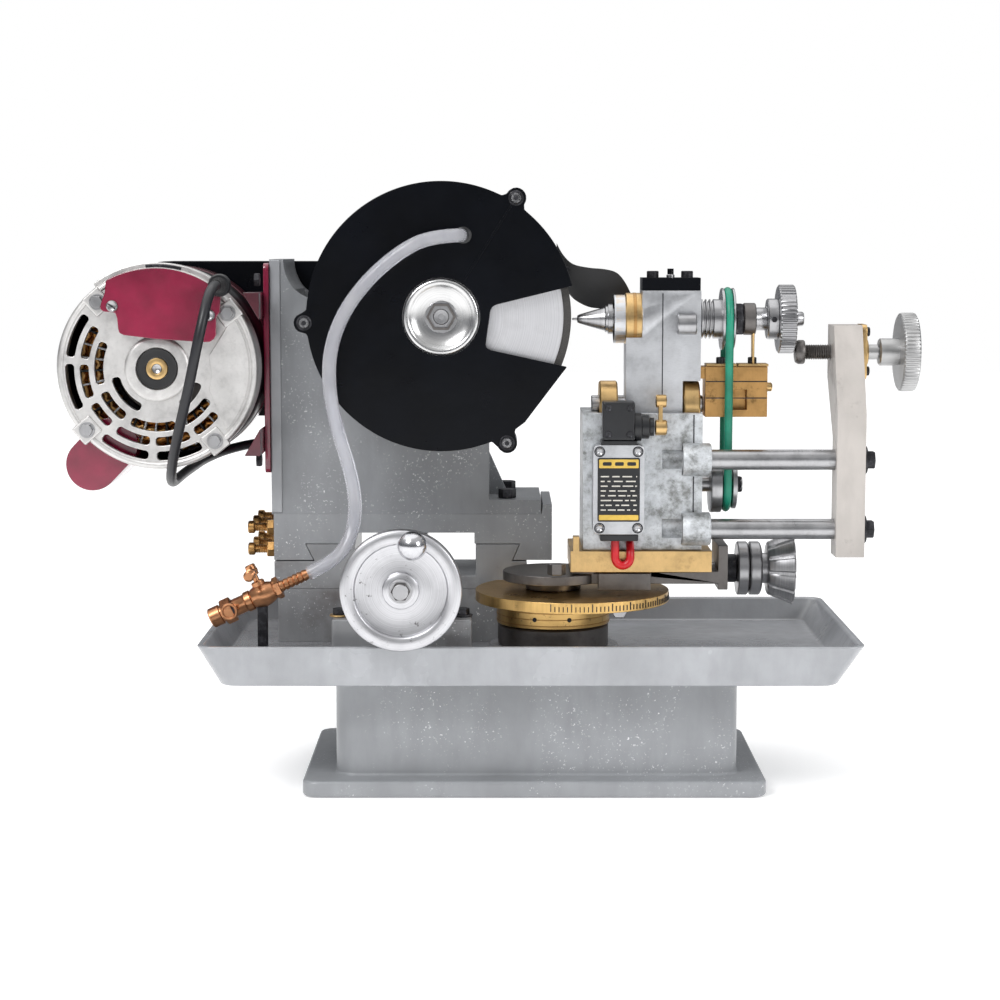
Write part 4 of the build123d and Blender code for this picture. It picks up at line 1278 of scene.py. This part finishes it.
def belt_drive():
    """The motor belt, its pulleys and the guard behind the column."""
    refine("belt_guard", BLACK_GLOSS, "saddle", "black_gloss", 0.8)
    y0, y1 = low("motor_pulley")[1], high("motor_pulley")[1]
    for node, place, body, slot in (("motor_pulley", MOTOR, "rotor", "cast_aluminium"),
                                    ("spindle_pulley", SPINDLE, "wheel", "machined_iron")):
        radius = (high(node)[0] - low(node)[0]) / 2
        bore = 8.05 if node == "motor_pulley" else 10.05
        spin(node + "_finish", frame_y(*place),
             [(bore, y0), (radius - 0.6, y0), (radius, y0 + 0.8), (radius - 0.4, y0 + 2.8),
              (radius - 6, y0 + 4), (radius - 6, y1 - 4), (radius - 0.4, y1 - 2.8),
              (radius, y1 - 0.8), (radius - 0.6, y1), (bore, y1), (bore, y0)], ALUMINIUM,
             body, slot, steps=96, replaces=(node,))
    refine("drive_belt", RUBBER, "saddle", "black_rubber", 0.8)
    refine("wheel_spindle", STEEL, "wheel", "bright_steel", 0.4)
    refine("motor_rotor", DARK_STEEL, "rotor", "bright_steel", 0.4)


# ---- saddle drive ----
def handwheel():
    front, back = HANDWHEEL_FRONT, high("handwheel")[1]
    spin("handwheel_casting", frame_y(*HANDWHEEL), [(6.05, front), (13, front),
         (14, front + 1), (14.2, front + 3.4), (20, front + 3.9), (32.6, front + 3.8),
         (34.6, front + 3.2), (35.4, front + 0.9), (36.4, front), (44.8, front),
         (46, front + 1.2), (46, front + 12.8), (44.8, front + 14), (16, front + 14),
         (14, front + 15), (14, back - 1), (13, back), (6.05, back), (6.05, front)],
         HAND_METAL, "handwheel", "cast_aluminium", steps=144, replaces=("handwheel",), angle=50)


def crank():
    """The turning knob: a polished ball on a short stem."""
    axis = frame_y(centre("crank_knob")[0], centre("crank_knob")[2])
    radius = (high("crank_knob")[0] - low("crank_knob")[0]) / 2
    front, back = low("crank_knob")[1], high("crank_knob")[1]
    profile = [(0, front)]
    for k in range(1, 15):
        turn = math.radians(11 * k)
        profile.append((radius * math.sin(turn), front + radius * (1 - math.cos(turn))))
    profile += [(6, front + 2 * radius - 1.6), (6, back), (0, back)]
    spin("crank_ball", axis, profile, POLISHED, "crank", "bright_steel", steps=64,
         replaces=("crank_knob",))


# ---- work head ----
def swivel():
    refine("swivel_plate", DARK_STEEL, "turntable", "machined_iron", 0.9)
    refine("slide_base", BRASS, "head", "aged_brass", 0.9)
    axis = frame_z(17, -90)
    nut("swivel_bolt", axis, 12.5, 174.6, 183, DARK_STEEL, "turntable", "machined_iron")


def adjuster():
    axis = frame_x(*ADJUST)
    shaft_start, end = low("adjuster_knob")[0] + 0.5, high("adjuster_knob")[0]
    spin("adjuster_collar", axis, disc_profile(11.3, 152.6, 161, 0.8), OXIDE, "adjuster",
         "black_oxide", steps=64, replaces=("adjuster_knob",))
    for k, start in enumerate((161.4, 171.2)):
        spin(f"adjuster_disc_{k}", axis, solid((20.4, start), (21.3, start + 0.8),
             (21.3, start + 7.4), (20.6, start + 8.3), (18.8, start + 9.2)), KNOB_STEEL,
             "adjuster", "machined_iron", steps=96)
    spin("adjuster_shaft", axis, disc_profile(4, shaft_start, 205, 0.4), STEEL, "adjuster",
         "bright_steel", steps=40)

    def flutes(k, radius):
        return 1 - (0.05 if radius > 20 and (k // 3) % 4 == 0 else 0)
    spin("adjuster_cone", axis, solid((12, 180.4), (12, 185), (19.5, 185.4), (21, 186.2),
         (24.6, 195), (28.4, end - 2.2), (29, end - 1.2), (28, end - 0.2)), KNOB_STEEL,
         "adjuster", "machined_iron", steps=144, bump=flutes, angle=40)


def head():
    refine("head_casting", CAST, "head", "machined_iron", 1.8, 4)
    refine("tail_arm", PALE_ARM, "head", "grey_enamel", 1.6, 4)
    rod_y = centre("guide_rods")[1]
    for k, z in enumerate((263.1, 208.8)):
        axis = frame_x(rod_y, z)
        spin(f"guide_rod_{k}", axis, disc_profile(8, 118, 256, 0.5), STEEL, "head",
             "bright_steel", steps=56, replaces=("guide_rods",) if not k else ())
        spin(f"rod_boss_{k}", axis, [(8.05, 115), (12.4, 115), (13, 116), (13, 134.5),
             (11.8, 137.2), (8.05, 137.2), (8.05, 115)], CAST, "head", "machined_iron",
             steps=64)
        spin(f"rod_washer_{k}", axis, ring(3, 11, 256.1, 258.4, 0.5), OXIDE, "head",
             "bright_steel", steps=48, replaces=("tail_fittings",) if not k else ())
        nut(f"rod_bolt_{k}", axis, 13, 258.5, 264.6, OXIDE, "head", "bright_steel")
    flange = rounded(TAIL[0] - 15, TAIL[0] + 15, TAIL[1] - 21, TAIL[1] + 22, 5)
    plate("tail_nut_flange", SIDE, [flange, circle(*TAIL, 6.6, 40)], 256.2, 260.4, BRASS,
          "head", "bright_steel", bevel=0.6)
    spin("tail_nut_boss", frame_x(*TAIL), ring(6.6, 10.5, 260, 262.5, 0.5), BRASS, "head",
         "bright_steel", steps=48)
    for k, z in enumerate((TAIL[1] + 16, TAIL[1] - 15)):
        socket_screw(f"tail_flange_screw_{k}", frame_x(TAIL[0], z) @ Matrix.Rotation(
            math.pi, 4, "X"), 3.6, -264.4, -260.4, OXIDE, "head", "bright_steel")
    block("casting_split", 123.6, 124.5, -74.5, -60, 196, 298, OXIDE, "head",
          "machined_iron", 0.2)


def limit_switch():
    body = rounded(44.6, 84.4, 207, 276.2, 4.5)
    face_plate("switch_case", [body], -98, -74.2, ALUMINIUM, "head", "cast_aluminium",
               bevel=1.8, replaces=("limit_switch",), segments=3)
    for k, (x, z) in enumerate(((49.8, 271.2), (79.2, 271.2), (49.8, 212), (79.2, 212))):
        place = frame_y(x, z)
        spin(f"switch_screw_{k}", place, [(0, -97.8), (1.2, -98), (2.6, -99.2), (3.1, -98.4),
             (3.2, -97.6), (0, -97.6)], STEEL, "head", "cast_aluminium", steps=24)
        # a dark ring round each screw head: painted shade in the screw's recess
        spin(f"switch_screw_well_shade_{k}", place, ring(3.3, 4.2, -98.2, -97.4, 0.2), OXIDE,
             "head", "cast_aluminium", steps=28)
    face_plate("switch_label", [rounded(48.2, 80.8, 217, 266.5, 1.2)], -98.5, -98, PLASTIC,
               "head", "cast_aluminium", bevel=0.15)
    gold = milled("label_gold", (0.72, 0.50, 0.12), 0.4, (1, 1, 1), 0.1)
    face_plate("label_band_top", [rounded(49.2, 79.8, 258.5, 265.4, 0.8)], -98.8, -98.4, gold,
               "head", "cast_aluminium")
    face_plate("label_band_low", [rounded(49.2, 79.8, 218.2, 222.4, 0.8)], -98.8, -98.4, gold,
               "head", "cast_aluminium")
    pale = milled("label_print", (0.62, 0.60, 0.54), 0.5, (1, 1, 1), 0.0, 0.0)
    bars = []
    for row in range(8):
        z = 225.6 + 3.7 * row
        x = 50.5
        while x < 78:
            width = RNG.uniform(2.2, 8.5)
            stop = min(x + width, 78.6)
            bars.append(rounded(x, stop, z, z + 1.1, 0.3, 2))
            x = stop + RNG.uniform(1.0, 3.2)
    for k in range(3):
        bars.append(rounded(52 + 9.4 * k, 59 + 9.4 * k, 260.4, 263.4, 1.0, 3))
    face_plate("label_bars", bars[:-3], -98.75, -98.45, pale, "head", "cast_aluminium")
    face_plate("label_dots", bars[-3:], -99.0, -98.7, PLASTIC, "head", "cast_aluminium")
    block("switch_foot", 50.4, 80, -97, -76, 201.6, 207.2, PLASTIC, "head",
          "cast_aluminium", 1.0)
    block("switch_neck", 51, 78.4, -97.4, -75, 276, 279.4, PLASTIC, "head",
          "cast_aluminium", 0.8)
    block("switch_head", 52.2, 77, -97, -75, 279.6, 309.4, PLASTIC, "head",
          "cast_aluminium", 1.6)
    for k, (x, z) in enumerate(((56.4, 304.8), (73, 304.8), (56.4, 284.6), (73, 284.6))):
        spin(f"switch_head_screw_{k}", frame_y(x, z), [(0, -96.6), (1.1, -96.8), (2.4, -97.7),
             (2.8, -96.8), (0, -96.2)], OXIDE, "head", "cast_aluminium", steps=20)
    spin("switch_side_head", frame_x(-86, 289.5), [(0, 77), (11, 77), (11, 82), (9.2, 82.8),
         (9.2, 88), (7.2, 89), (7.2, 92), (0, 92)], PLASTIC, "head", "cast_aluminium",
         steps=56)


def switch_lever():
    pivot = frame_x(-86, 289)
    spin("lever_hub", pivot, solid((5.2, 93), (6, 93.6), (6, 101), (5.2, 102)), BRASS, "lever",
         "aged_brass", steps=48, replaces=("switch_lever",))
    outline = [(-90, 288), (-82, 288), *arc(-86, 309, 3.8, -10, 190, 12)]
    plate("lever_arm", SIDE, [outline], 95.4, 98.6, BRASS, "lever", "aged_brass", bevel=0.5)
    spin("lever_roller", frame_x(-86, 309.5), ring(1.4, 5, 93.4, 101.6, 0.7), BRASS, "lever",
         "aged_brass", steps=40)
    spin("lever_pin", frame_x(-86, 309.5), disc_profile(1.5, 93, 102, 0.3), STEEL, "lever",
         "aged_brass", steps=24)
    spin("lever_screw", frame_x(-86, 289), [(0, 101.5), (2.6, 101.5), (2.6, 102.5),
         (1.6, 103), (0, 103)], STEEL, "lever", "aged_brass", steps=24)


def drive():
    axis = frame_x(*DRIVE)
    spin("drive_pulley_finish", axis, solid((6, 97), (6, 138.6), (21.6, 139), (22.5, 139.8),
         (22.5, 147.6), (21.6, 148.2), (15.4, 149), (15.2, 152), (15.4, 155), (18.6, 155.9),
         (19.5, 156.6), (19.5, 159.3), (18.8, 160), (6, 160.2), (6, 165)), STEEL, "drive",
         "machined_iron", steps=96, replaces=("drive_pulley",))
    nut("drive_nut", axis, 12, 159.8, 164.4, OXIDE, "drive", "machined_iron")


def belt_loop(name, axis_y, top_z, top_r, low_z, low_r, x, radius, material):
    """A round belt on its two pulleys, with a little slack in each run."""
    points = []
    lean = math.asin((top_r - low_r) / (top_z - low_z))

    def wrap(z, r, start, sweep, steps):
        for k in range(steps + 1):
            turn = start + sweep * k / steps
            points.append(Vector((x, axis_y + r * math.cos(turn), z + r * math.sin(turn))))

    def run(end, slack):
        start = points[-1].copy()
        for k in range(1, 12):
            point = start.lerp(end, k / 12)
            point.y += slack * math.sin(math.pi * k / 12)
            points.append(point)

    wrap(top_z, top_r, -lean, math.pi + 2 * lean, 24)
    run(Vector((x, axis_y - low_r * math.cos(lean), low_z - low_r * math.sin(lean))), 1.2)
    wrap(low_z, low_r, math.pi + lean, math.pi - 2 * lean, 20)
    run(points[0].copy(), -1.2)
    bm = bmesh.new()
    rings = []
    side = Vector((1, 0, 0))
    for k, point in enumerate(points):
        ahead = (points[(k + 1) % len(points)] - points[k - 1]).normalized()
        up = ahead.cross(side).normalized()
        rings.append([bm.verts.new((point + side * a + up * b) * MM)
                      for a, b in circle(0, 0, radius, 16)])
    for k, ring_points in enumerate(rings):
        bridge(bm, ring_points, rings[(k + 1) % len(rings)])
    return add_piece(name, mesh_from(bm, name), material, None, "green_belt",
                     ("spindle_belt",), angle=60)


def spindle_belt():
    x = centre("spindle_belt")[0]
    belt = belt_loop("green_drive_belt", HEAD_Y, WORK[1], 21.9, DRIVE[1], 18.7, x, 3.2, GREEN)
    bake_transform(belt)


def swing_arm():
    refine("swing_arm", ALUMINIUM, "arm", "cast_aluminium", 1.6, 4)
    block("arm_seam", 99.6, 100.4, -62.4, -60, 300, 392, OXIDE, "arm", "cast_aluminium", 0.1)
    spin("arm_pin", frame_x(-66, 368), [(0, 111), (7.8, 111), (8.6, 112), (8.6, 125),
         (7.8, 126), (0, 126)], STEEL, "arm", "cast_aluminium", steps=56)
    refine("arm_cap", BLACK_GLOSS, "arm", "black_gloss", 1.0)
    for k, x in enumerate((93, 120)):
        axis = frame_z(x, HEAD_Y) @ Matrix.Rotation(math.pi, 4, "X")
        socket_screw(f"cap_screw_{k}", axis, 4.6, -409.2, -404, OXIDE, "arm", "black_oxide")
    spin("grease_nipple", frame_z(107, HEAD_Y), solid((3.2, 404), (3.2, 406), (2, 407),
         (2, 409.4), (1.2, 411)), STEEL, "arm", "black_gloss", steps=24)
    axis = frame_x(*TILT)
    spin("tilt_pin", axis, disc_profile(7, 45, 133, 0.8), STEEL, "arm", "aged_brass",
         steps=48, replaces=("pivot_bushes",))
    for k, (x0, x1) in enumerate(((51, 65.5), (117, 130))):
        spin(f"tilt_bush_{k}", axis, ring(7.05, 18.5, x0, x1, 1.2), BRASS, "arm",
             "aged_brass", steps=96)
    spin("bearing_ring", frame_x(*WORK), [(9.1, 62.5), (17, 62.5), (19, 64), (19, 71),
         (20.5, 72), (20.5, 83.6), (19, 84.4), (9.1, 84.4), (9.1, 62.5)], BRASS, "arm",
         "aged_brass", steps=96)
    spin("bearing_shadow_ring", frame_x(*WORK), ring(18, 20.7, 77.2, 80, 0.3), OLD_BRASS,
         "arm", "aged_brass", steps=96)


def cross_slide():
    refine("cross_slide_block", OLD_BRASS, "arm", "aged_brass", 0.8)
    for k, z in enumerate((309.5, 322.5)):
        block(f"block_dovetail_{k}", 134.5, 182.6, -57.6, -56.4, z, z + 0.8, OXIDE, "arm",
              "aged_brass", 0.1)
    for k, x in enumerate((147, 172)):
        block(f"block_plate_{k}", x - 12, x + 12, -54, -36, 334.4, 336.6, BRASS, "arm",
              "aged_brass", 0.5)
        axis = frame_z(x, -45) @ Matrix.Rotation(math.pi, 4, "X")
        socket_screw(f"block_screw_{k}", axis, 3.4, -341.5, -336.6, OXIDE, "arm",
                     "aged_brass")
    spin("block_side_screw", frame_x(-45, 318), [(0, 183), (3.6, 183), (3.6, 187), (2.6, 188),
         (0, 188)], BRASS, "arm", "aged_brass", steps=32)


def work_spindle():
    axis = frame_x(*WORK)
    spin("spindle_nose", axis, solid((0.5, 29.8), (0.9, 30.2), (1.1, 33.6), (2.8, 34),
         (3.6, 35.5), (9.4, 55.4), (10.5, 56), (10.5, 57.6), (12, 58), (12, 61.4), (9, 61.8),
         (9, 183), (8.4, 184), (8.4, 204), (6, 205), (5.6, 211), (4.8, 212)), SPINDLE_STEEL,
         "work", "bright_steel", steps=64, replaces=("work_spindle",))
    groove = [(9.1, 130.6), (15, 130.6), (15.5, 131.2)]
    for k in range(3):
        x = 132.2 + 3.1 * k
        groove += [(15.5, x), (13.6, x + 0.8), (13.6, x + 1.5), (15.5, x + 2.3)]
    groove += [(15.5, 146.5), (24, 146.8), (24.4, 147.4), (24.2, 148.6), (19.4, 150.2),
               (18.4, 152), (19.4, 153.8), (24.2, 155.4), (24.4, 156.6), (23.8, 157),
               (13.4, 157), (13.4, 158), (9.1, 158), (9.1, 130.6)]
    spin("pulley_body", axis, groove, SPINDLE_STEEL, "work", "machined_iron", steps=96,
         replaces=("step_pulley",), angle=30)
    nut("pulley_lock_nut", axis, 24, 158, 164, OXIDE, "work", "machined_iron", hole=9.05)
    spin("pulley_collar", axis, ring(9.05, 12.6, 164.4, 174, 0.7), DARK_STEEL, "work",
         "machined_iron", steps=64)
    strip = [(-50, 322), (-41, 322), (-41, 352), (-39, 361), (-51, 361), (-50, 352)]
    plate("index_finger", SIDE, [strip], 171.4, 173.2, BRASS, "arm", "aged_brass", bevel=0.3)

    def teeth(k, radius):
        return 1 - (0.035 if radius > 26 and (k % 4) > 1 else 0)
    spin("template_toothed_rim", axis, [(9.1, 191.6), (25.6, 191.6), (27, 192.6), (27, 203.4),
         (25.8, 204.3), (18, 204.3), (17, 203.4), (9.1, 203.2), (9.1, 191.6)], SPINDLE_STEEL,
         "work", "bright_steel", steps=192, bump=teeth, replaces=("template_wheel",),
         angle=30)
    spin("template_hub", axis, ring(9.1, 16, 183, 191.8, 0.8), SPINDLE_STEEL, "work",
         "bright_steel", steps=64)
    spin("template_set_screw", frame_y(187.4, WORK[1]), [(0, WORK[0] - 14.6),
         (2.2, WORK[0] - 14.6), (2.2, WORK[0] - 16.1), (0, WORK[0] - 16.1)], OXIDE, "work",
         "bright_steel", steps=24)


def tail():
    axis = frame_x(*TAIL)
    thread("tail_screw_thread", axis, 6, 212.5, 234, 1.75, DARK_STEEL, "tail_screw",
           "bright_steel")
    spin("tail_screw_head", axis, solid((5.6, 205.3), (8.2, 205.9), (9.5, 208.2), (9.5, 212),
         (8.8, 213)), DARK_STEEL, "tail_screw", "bright_steel", steps=56,
         replaces=("tail_screw",))
    spin("tail_screw_shank", axis, solid((5.9, 233.5), (5.9, 270.6), (4, 271), (4, 301),
         (3.2, 302)), TAIL_STEEL, "tail_screw", "bright_steel", steps=48)

    def knurl(k, radius):
        return 1 - (0.022 if radius > 30 and (k % 4) > 1 else 0)
    spin("tail_wheel_rim", axis, [(4.1, 271.6), (9.6, 271.6), (10.7, 272.6), (10.7, 286.8),
         (29, 287.2), (30.6, 288.2), (31, 289.6), (31, 298), (30.4, 299.4), (28.6, 300.3),
         (24, 300.3), (22, 299), (9, 298.8), (8, 300.4), (4.1, 300.4), (4.1, 271.6)],
         TAIL_STEEL, "tail_wheel", "bright_steel", steps=240, bump=knurl,
         replaces=("tail_wheel",), angle=30)


def leadscrew_end():
    axis = frame_y(*HANDWHEEL)
    refine("leadscrew", STEEL, "handwheel", "bright_steel", 0.4)
    front = HANDWHEEL_FRONT
    spin("handwheel_washer", axis, ring(6.1, 9, front - 1.4, front + 0.1, 0.3), STEEL,
         "handwheel", "bright_steel", steps=64)
    nut("handwheel_nut", axis, 12.6, front - 5.4, front - 1.3, DARK_STEEL, "handwheel",
        "bright_steel", hole=6.02)


def main():
    set_camera()
    set_world()
    set_lights()
    set_floor()
    power_cord()
    water_hose()
    switch_cable()
    base_and_bed()
    pivot_and_disc()
    valve()
    guard()
    wheel()
    flap()
    motor()
    motor_covers()
    mount_plate()
    belt_drive()
    leadscrew_end()
    handwheel()
    crank()
    swivel()
    adjuster()
    head()
    limit_switch()
    switch_lever()
    drive()
    spindle_belt()
    swing_arm()
    cross_slide()
    work_spindle()
    tail()


main()
